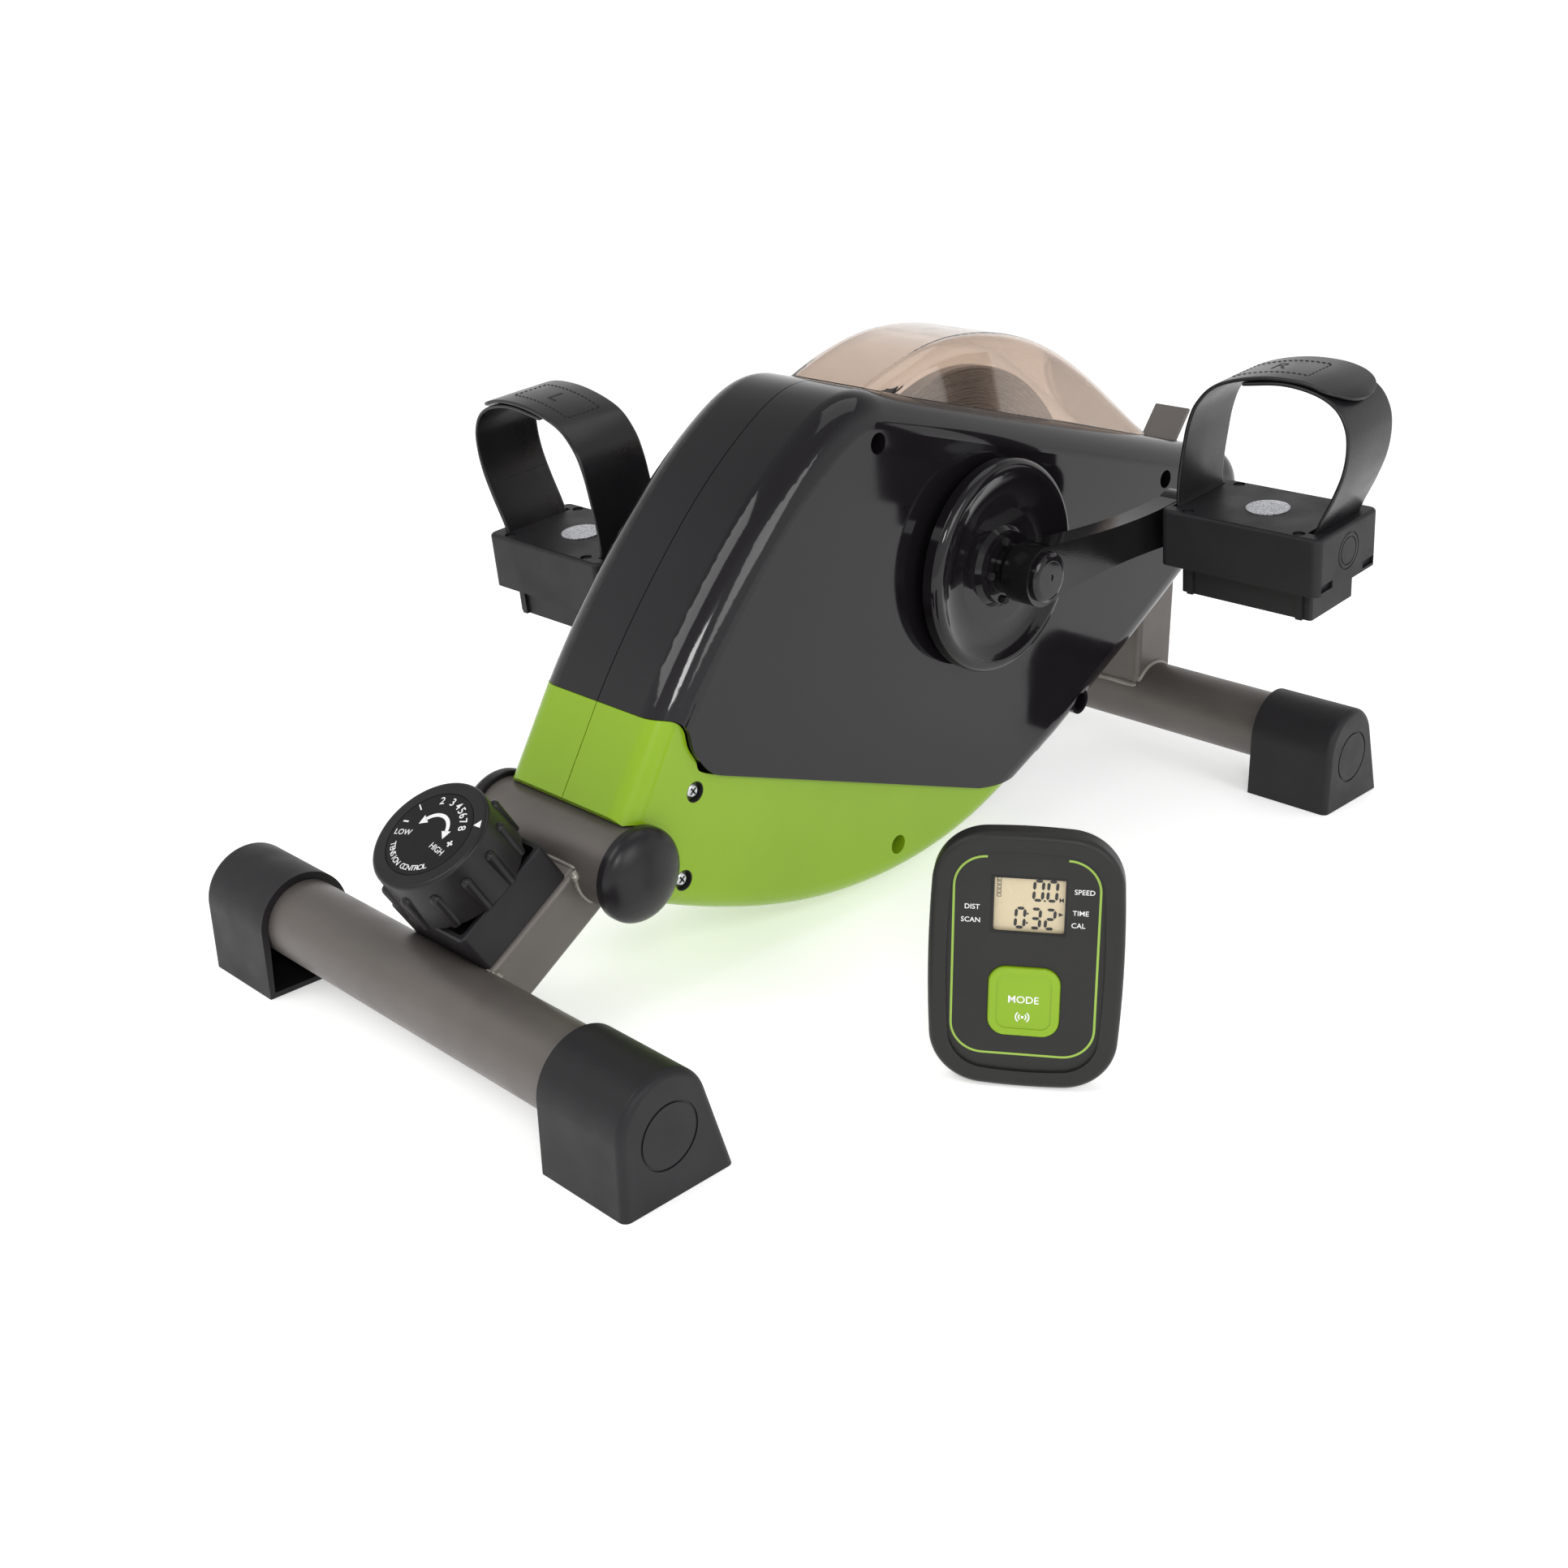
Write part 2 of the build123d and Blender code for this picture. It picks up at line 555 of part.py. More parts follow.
def tread(height):
    """Plane parallel to the right pedal's top at a height over its spindle: local x is +X."""
    up = Vector(*PITCH_UP) * height
    origin = Vector(MID_X + PEDAL_X, FRONT_Y + pedal_y, pedal_z) + up
    return Plane(origin=origin, x_dir=(1, 0, 0), z_dir=PITCH_UP)


def pedal_end(x):
    """Plane square to the spindle at x from the pedal's middle: local x is the pedal's rear, local y its top."""
    return Plane(origin=(MID_X + PEDAL_X + x, FRONT_Y + pedal_y, pedal_z), x_dir=PITCH_REAR, z_dir=(1, 0, 0))


def left_pedal_copy(part):
    """The left pedal's copy of a right-hand piece: mirrored and moved to the left spindle."""
    return other_side(part).moved(Location((0, left_y - pedal_y, left_z - pedal_z)))


def both_pedals(name, part):
    """Keep a right-hand pedal piece and its left-hand copy."""
    keep(f"right_{name}", part)
    keep(f"left_{name}", left_pedal_copy(part))


PEDAL_TOP, PEDAL_FLOOR = 15.7, 15.7 - PEDAL_H
PEDAL_WALL = 3.2
SLOT_X, SLOT_W, SLOT_L = (-46.0, 42.0), 4.6, 49.0
HOLE_X, HOLE_Y = 36.0, 27.0
REFLECTOR_R = 12.5
WEIGHT_TOP, WEIGHT_LIP, WEIGHT_FLOOR = -13.0, -16.5, -37.0
with BuildPart() as pedal_body:
    with BuildSketch(tread(PEDAL_FLOOR)):
        RectangleRounded(PEDAL_L, PEDAL_W, 5.0)
    extrude(amount=PEDAL_H)
    fillet(pedal_body.faces().sort_by(Axis.Z)[-1].edges(), radius=2.2)
    with BuildSketch(tread(PEDAL_FLOOR)):
        RectangleRounded(PEDAL_L - 2 * PEDAL_WALL, PEDAL_W - 2 * PEDAL_WALL, 3.0)
    extrude(amount=PEDAL_H - PEDAL_WALL, mode=Mode.SUBTRACT)
    with BuildSketch(pedal_end(-PEDAL_L / 2 + 1)):
        Circle(9.5)
    extrude(amount=PEDAL_L - 2)
    with BuildSketch(pedal_end(-PEDAL_L / 2 - 1)):
        Circle(SPINDLE_R + RUN)
    extrude(amount=PEDAL_L - 6, mode=Mode.SUBTRACT)
    with BuildSketch(tread(WEIGHT_TOP + FIT)):
        with GridLocations(2 * HOLE_X, 2 * HOLE_Y, 2, 2):
            Circle(3.2)
    extrude(amount=PEDAL_TOP - WEIGHT_TOP - 2)
    with BuildSketch(tread(PEDAL_TOP - PEDAL_WALL - 1)):
        with Locations(*[(x, 0) for x in SLOT_X]):
            Rectangle(SLOT_W, SLOT_L)
    extrude(amount=PEDAL_WALL + 3, mode=Mode.SUBTRACT)
    with BuildSketch(tread(PEDAL_TOP - 2.4)):
        with GridLocations(2 * HOLE_X, 2 * HOLE_Y, 2, 2):
            Circle(3.5)
    extrude(amount=4, mode=Mode.SUBTRACT)
    with BuildSketch(tread(WEIGHT_TOP - 1)):
        with GridLocations(2 * HOLE_X, 2 * HOLE_Y, 2, 2):
            Circle(1.2 + FIT)
    extrude(amount=30, mode=Mode.SUBTRACT)
    with BuildSketch(tread(PEDAL_TOP - 1.0)):
        Circle(REFLECTOR_R + FIT)
    extrude(amount=3, mode=Mode.SUBTRACT)
    with BuildSketch(pedal_end(PEDAL_L / 2)):
        for outer, inner_r in ((11.0, 10.3), (8.4, 7.7)):
            Circle(outer)
            Circle(inner_r, mode=Mode.SUBTRACT)
    extrude(amount=-0.6, mode=Mode.SUBTRACT)
    with BuildSketch(pedal_end(PEDAL_L / 2)):
        with Locations((-22.5, PEDAL_FLOOR + 3.9), (22.5, PEDAL_FLOOR + 3.9)):
            Rectangle(12.0, 4.4)
    extrude(amount=-2.2, mode=Mode.SUBTRACT)
both_pedals("pedal_body", pedal_body.part)

WEIGHT_L, WEIGHT_W = 86.0, 46.0
with BuildPart() as counterweight:
    with BuildSketch(tread(WEIGHT_FLOOR)):
        RectangleRounded(WEIGHT_L, WEIGHT_W, 2.0)
        with GridLocations(WEIGHT_L - 14, WEIGHT_W, 2, 2):
            Rectangle(4.0, 4.0)
    extrude(amount=WEIGHT_LIP - WEIGHT_FLOOR)
    with BuildSketch(tread(WEIGHT_LIP)):
        RectangleRounded(PEDAL_L - 2 * PEDAL_WALL - 2 * FIT, PEDAL_W - 2 * PEDAL_WALL - 2 * FIT, 3.0)
    extrude(amount=WEIGHT_TOP - WEIGHT_LIP)
    with BuildSketch(tread(WEIGHT_FLOOR + 5)):
        RectangleRounded(WEIGHT_L - 10, WEIGHT_W - 10, 2.0)
    extrude(amount=30, mode=Mode.SUBTRACT)
    with BuildSketch(tread(WEIGHT_LIP - 1)):
        with GridLocations(2 * HOLE_X, 2 * HOLE_Y, 2, 2):
            Circle(1.2 + FIT)
    extrude(amount=6, mode=Mode.SUBTRACT)
both_pedals("pedal_counterweight", counterweight.part)

with BuildPart() as pedal_screws:
    with BuildSketch(tread(PEDAL_TOP - 2.4 + FIT)):
        with GridLocations(2 * HOLE_X, 2 * HOLE_Y, 2, 2):
            Circle(2.4)
    extrude(amount=1.4)
    with BuildSketch(tread(WEIGHT_LIP + 0.5)):
        with GridLocations(2 * HOLE_X, 2 * HOLE_Y, 2, 2):
            Circle(1.2)
    extrude(amount=PEDAL_TOP - 2.0 - WEIGHT_LIP)
keep("right_pedal_screws", Compound(pedal_screws.solids()))
keep("left_pedal_screws", Compound(left_pedal_copy(pedal_screws.part).solids()))

with BuildPart() as reflector:
    with BuildSketch(tread(PEDAL_TOP - 1.0 + FIT)):
        Circle(REFLECTOR_R)
    extrude(amount=1.4)
both_pedals("pedal_reflector", reflector.part)

# strap: a band that runs under the tread, up through both slots and in an arch over the foot
STRAP_UNDER = 9.9
strap_arch = Spline(
    (SLOT_X[0], STRAP_UNDER + STRAP_T), (-45.0, 30), (-41.5, 55), (-36, 76), (-20, 91.5), (6, 99.3),
    (32, 100.2), (54, 91), (61, 70), (55, 42), (SLOT_X[1], STRAP_UNDER + STRAP_T),
    tangents=((0, 1), (-0.3, -1)),
)


def strap_surface(out):
    """Points along one surface of the arch, a distance outside the strap's middle line."""
    steps = [step / 14 for step in range(15)]
    return [strap_arch @ step + (strap_arch % step).rotate(Axis.Z, 90) * out for step in steps]


with BuildPart() as strap:
    with BuildSketch(Plane(origin=tread(0).origin, x_dir=(1, 0, 0), z_dir=-Vector(*PITCH_REAR))):
        with BuildLine():
            outside = Spline(*strap_surface(STRAP_T / 2))
            Polyline(
                outside @ 1,
                ((outside @ 1).X, STRAP_UNDER),
                ((outside @ 0).X, STRAP_UNDER),
                outside @ 0,
            )
        make_face()
        with BuildLine():
            within = Spline(*strap_surface(-STRAP_T / 2))
            Line(within @ 1, within @ 0)
        make_face(mode=Mode.SUBTRACT)
    extrude(amount=STRAP_W / 2, both=True)
both_pedals("pedal_strap", strap.part)

spindle_outline = [
    (95, 0), (95, SPINDLE_R), (108.6, SPINDLE_R), (108.6, 9), (111.4, 9), (111.4, SPINDLE_R), (206, SPINDLE_R), (206, 0)
]
right_spindle = turned(pedal_y, pedal_z, spindle_outline)
keep("pedal_spindles", Compound([right_spindle.solid(), left_pedal_copy(right_spindle).solid()]))

# ---------------------------------------------------------------- covers
SLOPE = tan(radians(TOP_SLOPE))


def top_line(y):
    """Height of the covers' sloping top at machine y."""
    return 291.7 - SLOPE * (y - 320.6)


FRONT_SPLIT = (114.7, 162.1)
NOSE_REAR = 645.0
# the split between the black upper and the green lower covers: level at the front edge, then down and round to
# the straight line that runs along the side to the belly
SPLIT = [FRONT_SPLIT, (124.5, 160.4), (130.6, 154.6), (133.4, 144.0), (138.8, 134.6), (152.0, 123.7)]
SPLIT_REAR = (365.7, 48.7)
BELLY_REAR = [(430.0, 46.5), (448.0, 54.8), (528.5, 98.8), (577.4, 127.9), (630.0, 159.0)]


def upper_outline(inset=0.0):
    """Closed line of the upper cover in side view; the inset pulls in its front, top and rear only."""
    shift = inset
    Spline(
        (FRONT_SPLIT[0] + shift, FRONT_SPLIT[1]),
        (158.2 + shift * 0.8, 221.8 - shift * 0.6),
        (192.7 + shift * 0.75, 259.2 - shift * 0.7),
        (226.7 + shift * 0.6, 287.0 - shift * 0.8),
        (250.0 + shift * 0.4, 300.2 - shift),
        (281.0, top_line(281.0) - shift * 1.03),
        tangents=((0.52, 0.85), (0.967, -0.256)),
    )
    Line((281.0, top_line(281.0) - shift * 1.03), (NOSE_REAR - 18, top_line(NOSE_REAR - 18) - shift * 1.03))
    ThreePointArc(
        (NOSE_REAR - 18, top_line(NOSE_REAR - 18) - shift * 1.03),
        (NOSE_REAR - shift, 188.0),
        (630.0 - shift * 0.5, 159.0 + shift),
    )


with BuildPart() as upper_block:
    with BuildSketch(side(SEAM)) as upper_face:
        with BuildLine():
            upper_outline()
            Polyline(*reversed(BELLY_REAR))
            Spline((430.0, 46.5), (400.0, 44.2), SPLIT_REAR)
            Line(SPLIT_REAR, SPLIT[-1])
            Spline(*reversed(SPLIT), tangents=((-0.943, 0.331), (-1.0, 0.1)))
        make_face()
    extrude(amount=COVER_HALF - SEAM)
    outer_face = upper_block.faces().sort_by(Axis.X)[-1]
    fillet([e for e in outer_face.edges() if e.center().Z > 165], radius=TOP_EDGE_R)

with BuildPart() as upper_core:
    with BuildSketch(side(SEAM - 1)):
        with BuildLine():
            upper_outline(COVER_WALL)
            Line((630.0 - COVER_WALL * 0.5, 159.0 + COVER_WALL), (578.0, 127.9 + 3.2))
            Polyline((578.0, 131.1), (528.5, 101.8), (447.0, 57.4), (430.0, 49.0), (430.0, 20.0), (100.0, 20.0))
            Line((100.0, 20.0), (FRONT_SPLIT[0] + COVER_WALL, FRONT_SPLIT[1]))
        make_face()
    extrude(amount=COVER_HALF - COVER_WALL - SEAM + 1)
    core_face = upper_core.faces().sort_by(Axis.X)[-1]
    fillet([e for e in core_face.edges() if e.center().Z > 165], radius=TOP_EDGE_R - COVER_WALL)

# screws that close the covers: (y, z, half width of the cover there, depth of the head under the surface)
UPPER_SCREWS = [(272.5, 277.0, COVER_HALF, 30.0), (547.5, 206.0, COVER_HALF, 30.0), (467.0, 76.5, COVER_HALF, 30.0)]
LOWER_SCREWS = [
    (137.1, 118.0, LOWER_HALF, 4.5), (127.3, 71.1, LOWER_HALF, 4.5), (296.1, 34.0, LOWER_HALF, 30.0),
]
WELL_R, BOSS_R = 5.8, 8.3
SCREW_R, HEAD_R = 2.0, 4.0


def screw_boss_floor(spot):
    """x of the face that a screw's head sits on."""
    return spot[2] - spot[3]


def bosses(spots, mount_x):
    """Wells for the screws of one cover: tubes from the wall down to the floor that each head sits on."""
    with BuildPart() as made:
        for spot in spots:
            inner_x = mount_x if spot[3] < 10 else SEAM
            add(ring(inner_x, spot[2] - 1.0, spot[0], spot[1], BOSS_R))
    return made.part


def wells(spots):
    """The cutter for those wells and for the screws' shanks."""
    with BuildPart() as made:
        for spot in spots:
            floor = screw_boss_floor(spot)
            add(ring(floor, spot[2] + 5, spot[0], spot[1], WELL_R))
            add(ring(-1, spot[2], spot[0], spot[1], SCREW_R + FIT))
    return made.part


LUG_X = 23.0
dome_slot_front, dome_slot_rear = 296.0, 553.0
with BuildPart() as slot_cutter:
    with BuildSketch(side(-1)):
        with BuildLine():
            Polyline(
                (dome_slot_front, 240), (dome_slot_rear, 190), (dome_slot_rear, 340), (dome_slot_front, 340), close=True
            )
        make_face()
    extrude(amount=DOME_HALF - DOME_WALL + 1)
TAB_HALF = 13.0
TAB_LEAN = 38.0
TAB_FOOT = (602.0, POST_TOP + 3.0)
with BuildPart() as opening_cutter:
    add(ring(40, 60, CRANK_Y, CRANK_Z, 12.0))
    with BuildSketch(Plane(origin=(MID_X, FRONT_Y + POST_FRONT + POST_SIZE / 2, 100))):
        Rectangle(POST_SIZE + 2, POST_SIZE + 2)
    extrude(amount=60)
    with BuildSketch(side(0)):
        with BuildLine():
            Polyline((602, 200), (607, 197), (640, 236), (632, 242), close=True)
        make_face()
    extrude(amount=TAB_HALF + 1.0)


def right_half(block, core, spots):
    """A right-hand cover: its shell, screw wells and openings."""
    with BuildPart() as made:
        add(block)
        add(core, mode=Mode.SUBTRACT)
        add(bosses(spots, LUG_X + 0.2))
        add(wells(spots), mode=Mode.SUBTRACT)
        add(slot_cutter.part, mode=Mode.SUBTRACT)
        add(opening_cutter.part, mode=Mode.SUBTRACT)
    return made.part


def left_half(block, core, spots):
    """A left-hand cover: the same shell with plain bosses that the screws bite into."""
    with BuildPart() as made:
        add(block)
        add(core, mode=Mode.SUBTRACT)
        for spot in spots:
            inner_x = LUG_X + 0.2 if spot[3] < 10 else SEAM
            add(ring(inner_x, spot[2] - 1.0, spot[0], spot[1], BOSS_R - 2))
            if spot[3] >= 10:
                add(ring(-1, 18, spot[0], spot[1], SCREW_R + FIT), mode=Mode.SUBTRACT)
            else:
                add(ring(spot[2] - spot[3], spot[2] + 5, spot[0], spot[1], WELL_R - 1.5), mode=Mode.SUBTRACT)
                add(ring(-1, spot[2], spot[0], spot[1], SCREW_R + FIT), mode=Mode.SUBTRACT)
        add(slot_cutter.part, mode=Mode.SUBTRACT)
        add(opening_cutter.part, mode=Mode.SUBTRACT)
    return other_side(made.part)


keep("right_upper_cover", right_half(upper_block.part, upper_core.part, UPPER_SCREWS))
keep("left_upper_cover", left_half(upper_block.part, upper_core.part, UPPER_SCREWS))

# green lower covers: front face over the handle bar, open around the spine, and a rounded belly
with BuildPart() as spine_cutter:
    with BuildSketch(spine_start):
        Rectangle(SPINE_SIZE + 0.8, SPINE_SIZE + 0.8)
    extrude(amount=60)
GAP = 0.35
LOWER_FRONT = (88.2, 116.4)
with BuildPart() as lower_block:
    with BuildSketch(side(SEAM)):
        with BuildLine():
            split_under = [(y - GAP * (0.5 if (y, z) == FRONT_SPLIT else 1.0), z - GAP) for y, z in SPLIT]
            Line(LOWER_FRONT, split_under[0])
            Spline(*split_under, tangents=((1.0, -0.1), (0.943, -0.331)))
            Line(split_under[-1], (365.7 - GAP, 48.7 - GAP))
            Spline((365.7 - GAP, 48.7 - GAP), (385.0, 44.8), (404.8, 38.5))
            Spline(
                (404.8, 38.5), (327.5, 15.9), (278.1, 14.0), (229.1, 19.7), (183.2, 31.7), (140.4, 47.7), (112.5, 60.4)
            )
            Line((112.5, 60.4), (112.5, 82.0))
            Line((112.5, 82.0), LOWER_FRONT)
        make_face()
    extrude(amount=LOWER_HALF - SEAM)
    with BuildSketch(side(SEAM - 1)):
        with Locations((BAR_Y, BAR_Z)):
            Circle(TUBE_R + 1.2)
    extrude(amount=LOWER_HALF + 5, mode=Mode.SUBTRACT)
    front_edge = [
        e for e in lower_block.edges().filter_by_position(Axis.X, MID_X + LOWER_HALF - 0.1, MID_X + LOWER_HALF + 0.1)
        if (e.center().Z > 120 and e.center().Y < FRONT_Y + 112) or e.center().Z < 40
    ]
    fillet(front_edge, radius=LOWER_EDGE_R)
with BuildPart() as lower_core:
    with BuildSketch(side(SEAM - 1)):
        with BuildLine():
            Polyline(
                (112.5 + COVER_WALL, 84.0), (112.5 + COVER_WALL, 62.0), (141.5, 50.2), (184.0, 34.3), (229.6, 22.4),
                (278.1, 16.8), (327.0, 18.8), (398.0, 39.4), (398.0, 190.0), (131.0, 190.0), (92.6, 119.5), (104.0, 112.0),
                close=True,
            )
        make_face()
    extrude(amount=LOWER_HALF - COVER_WALL - SEAM + 1)
    fillet(
        [
            e for e in lower_core.faces().sort_by(Axis.X)[-1].edges()
            if (e.center().Z > 119 and e.center().Y < FRONT_Y + 125) or e.center().Z < 60
        ],
        radius=LOWER_EDGE_R - COVER_WALL,
    )
    add(spine_cutter.part)
keep("right_lower_cover", right_half(lower_block.part, lower_core.part, LOWER_SCREWS))
keep("left_lower_cover", left_half(lower_block.part, lower_core.part, LOWER_SCREWS))

# lugs on the spine's sides that the two front screws of each side bite into
lugs = []
with BuildPart() as lug:
    with BuildSketch(side(SPINE_SIZE / 2 + FIT)):
        with Locations((131.0, 96.0)):
            RectangleRounded(26.0, 62.0, 3.0)
        for spot in LOWER_SCREWS[:2]:
            with Locations((spot[0], spot[1])):
                Circle(SCREW_R + FIT, mode=Mode.SUBTRACT)
    extrude(amount=LUG_X - SPINE_SIZE / 2 - FIT)
keep("cover_lugs", Compound([lug.part.solid(), other_side(lug.part).solid()]))

screws = []
for spot in UPPER_SCREWS + LOWER_SCREWS:
    floor = screw_boss_floor(spot)
    tip = SPINE_SIZE / 2 + FIT + 0.5 if spot[3] < 10 else -14.0
    screw = turned(spot[0], spot[1], [
        (tip, 0), (tip, SCREW_R), (floor + FIT, SCREW_R), (floor + FIT, HEAD_R), (floor + 2.2, HEAD_R),
        (floor + 3.0, HEAD_R - 1.2), (floor + 3.0, 0),
    ])
    screws.append(screw.solid())
    if spot[3] < 10:
        screws.append(other_side(screw).solid())
keep("cover_screws", Compound(screws))

# smoked dome over the flywheel
def dome_outline(inset):
    """Closed line of the dome in side view, standing on the covers' top."""
    Spline(
        (288.0 + inset, top_line(288.0 + inset) + 0.1),
        (311.0 + inset * 0.4, 309.5 - inset * 0.9),
        (341.0, 317.0 - inset),
        (376.0, 318.5 - inset),
        (412.0, 313.5 - inset),
        (447.0, 302.0 - inset),
        (486.0, 280.5 - inset),
        (524.0, 254.0 - inset),
        (560.0 - inset * 1.2, top_line(560.0 - inset * 1.2) + 0.1),
    )
    Line((560.0 - inset * 1.2, top_line(560.0 - inset * 1.2) + 0.1), (288.0 + inset, top_line(288.0 + inset) + 0.1))


with BuildPart() as dome_core:
    with BuildSketch(side(0)):
        with BuildLine():
            dome_outline(DOME_WALL)
        make_face()
    extrude(amount=DOME_HALF - DOME_WALL, both=True)
    core_ends = dome_core.faces().sort_by(Axis.X)
    core_rims = [e for f in (core_ends[0], core_ends[-1]) for e in f.edges().sort_by(Axis.Z)[-1:]]
    fillet(core_rims, radius=10.0 - DOME_WALL)

with BuildPart() as dome_cover:
    with BuildSketch(side(0)):
        with BuildLine():
            dome_outline(0.0)
        make_face()
    extrude(amount=DOME_HALF, both=True)
    end_faces = dome_cover.faces().sort_by(Axis.X)
    rims = [e for f in (end_faces[0], end_faces[-1]) for e in f.edges().sort_by(Axis.Z)[-1:]]
    fillet(rims, radius=10.0)
    add(dome_core.part, mode=Mode.SUBTRACT)
keep("dome_cover", dome_cover.part)

# bent tab on the post's top, which leans out through the covers to hold the console
with BuildPart() as console_bracket:
    with BuildSketch(side(-TAB_HALF)):
        with BuildLine():
            tab_line = Polyline(
                (580, POST_TOP + 1.5 + FIT),
                (606, POST_TOP + 1.5 + FIT),
                (606 + 38.0 * sin(radians(TAB_LEAN)), POST_TOP + 1.5 + 38.0 * cos(radians(TAB_LEAN))),
            )
            offset(amount=1.5, side=Side.BOTH)
        make_face()
    extrude(amount=2 * TAB_HALF)
keep("console_bracket", console_bracket.part)

# wireless sender on the left cover's inner wall, over the speed magnet's path
with BuildPart() as sender:
    with BuildSketch(side(-COVER_HALF + COVER_WALL + FIT)):
        with Locations((magnet_y - 6, magnet_z + 1)):
            RectangleRounded(40, 24, 3)
    extrude(amount=4.6)
keep("speed_sender", sender.part)

# ---------------------------------------------------------------- tension knob
with BuildPart() as knob_tray:
    with BuildSketch(neck_level(TRAY[2])):
        RectangleRounded(2 * TRAY_HALF, TRAY[1] - TRAY[0], 3.0)
    extrude(amount=TRAY[3] - TRAY[2])
    chamfer(knob_tray.faces().sort_by(Axis(origin=(0, 0, 0), direction=NECK_UP))[-1].edges(), length=1.0)
    with BuildSketch(neck_level(TRAY[2] + 10.0)):
        RectangleRounded(2 * TRAY_HALF - 6, TRAY[1] - TRAY[0] - 6, 2.0)
    extrude(amount=30, mode=Mode.SUBTRACT)
    add(front_solid, mode=Mode.SUBTRACT)
    add(cable_bore, mode=Mode.SUBTRACT)
keep("knob_tray", knob_tray.part)

POST_R = 5.0
GRIPS, GRIP_R, GRIP_AT, GRIP_TOP = 12, 3.0, 32.4, 56.0
with BuildPart() as tension_knob:
    with BuildSketch(neck_level(KNOB_BASE)):
        Circle(KNOB_SKIRT_R)
    with BuildSketch(neck_level(KNOB_TOP)):
        Circle(KNOB_TOP_R)
    loft()
    fillet(tension_knob.edges().sort_by(Axis(origin=(0, 0, 0), direction=NECK_UP))[-1], radius=2.0)
    with BuildSketch(neck_level(KNOB_BASE)):
        with PolarLocations(GRIP_AT, GRIPS, start_angle=12):
            Circle(GRIP_R)
    extrude(amount=GRIP_TOP - KNOB_BASE)
    with Locations(neck_level(GRIP_TOP).location):
        with PolarLocations(GRIP_AT, GRIPS, start_angle=12):
            Sphere(GRIP_R)
    with BuildSketch(neck_level(KNOB_TOP - 1.2)):
        Circle(DIAL_R + 0.4)
    extrude(amount=3, mode=Mode.SUBTRACT)
    with BuildSketch(neck_level(TRAY[2] + 13.0)):
        Circle(20.0)
    extrude(amount=KNOB_BASE - TRAY[2] - 12.0)
    with BuildSketch(neck_level(0)):
        Circle(POST_R + RUN)
    extrude(amount=80, mode=Mode.SUBTRACT)
keep("tension_knob", tension_knob.part)

# fixed dial: a printed disc on a post that stands on the tray's floor
with BuildPart() as dial_plate:
    with BuildSketch(neck_level(TRAY[2] + 10.0 + FIT)):
        Circle(POST_R)
    extrude(amount=KNOB_TOP - TRAY[2] - 10.5)
    with BuildSketch(neck_level(KNOB_TOP - 0.85)):
        Circle(DIAL_R)
    extrude(amount=0.8)
keep("dial_plate", dial_plate.part)

# ---------------------------------------------------------------- console
YAW, LEAN = radians(CONSOLE_YAW), radians(CONSOLE_LEAN)
FACE_OUT = (sin(YAW) * cos(LEAN), -cos(YAW) * cos(LEAN), sin(LEAN))
FACE_RIGHT = (cos(YAW), sin(YAW), 0)
CONSOLE_LIFT = CONSOLE_T * sin(LEAN) + 0.02


def face(depth):
    """Plane parallel to the console's face: local x is its right, local y is up the face; 0 is the rim's front."""
    origin = Vector(MID_X + CONSOLE_X, FRONT_Y + CONSOLE_Y, CONSOLE_LIFT) + Vector(*FACE_OUT) * depth
    return Plane(origin=origin, x_dir=FACE_RIGHT, z_dir=FACE_OUT)


def console_section(depth, inset=0.0):
    """The console's outline on a plane of the face: four bowed sides with rounded corners."""
    half, high, bow = CONSOLE_W / 2 - inset, CONSOLE_H - inset, 3.0
    with BuildSketch(face(depth)) as section:
        with BuildLine():
            ThreePointArc((-half + bow, inset + bow), (0, inset), (half - bow, inset + bow))
            ThreePointArc((half - bow, inset + bow), (half, CONSOLE_H / 2), (half - bow, high - bow))
            ThreePointArc((half - bow, high - bow), (0, high), (-half + bow, high - bow))
            ThreePointArc((-half + bow, high - bow), (-half, CONSOLE_H / 2), (-half + bow, inset + bow))
        make_face()
        fillet(section.vertices(), radius=27.0 - inset * 0.9)
    return section.sketch


CASE_SPLIT = -7.5
LCD_AT, LCD_W, LCD_H = (1.0, 96.4), 33.6, 28.6
BUTTON_AT, BUTTON_W, BUTTON_H = (0.0, 46.2), 34.4, 36.2
with BuildPart() as console_front:
    extrude(console_section(CASE_SPLIT), amount=-CASE_SPLIT)
    fillet(console_front.faces().sort_by(Axis(origin=(0, 0, 0), direction=FACE_OUT))[-1].edges(), radius=3.5)
    extrude(console_section(-1.6, 9.0), amount=4, mode=Mode.SUBTRACT)
    extrude(console_section(CASE_SPLIT - 1, 2.2), amount=-CASE_SPLIT + 1 - 3.6, mode=Mode.SUBTRACT)
    with BuildSketch(face(-5)):
        with Locations(LCD_AT):
            RectangleRounded(LCD_W, LCD_H, 1.5)
        with Locations(BUTTON_AT):
            RectangleRounded(BUTTON_W + 0.8, BUTTON_H + 0.8, 9.0)
    extrude(amount=6, mode=Mode.SUBTRACT)
keep("console_front_case", console_front.part)

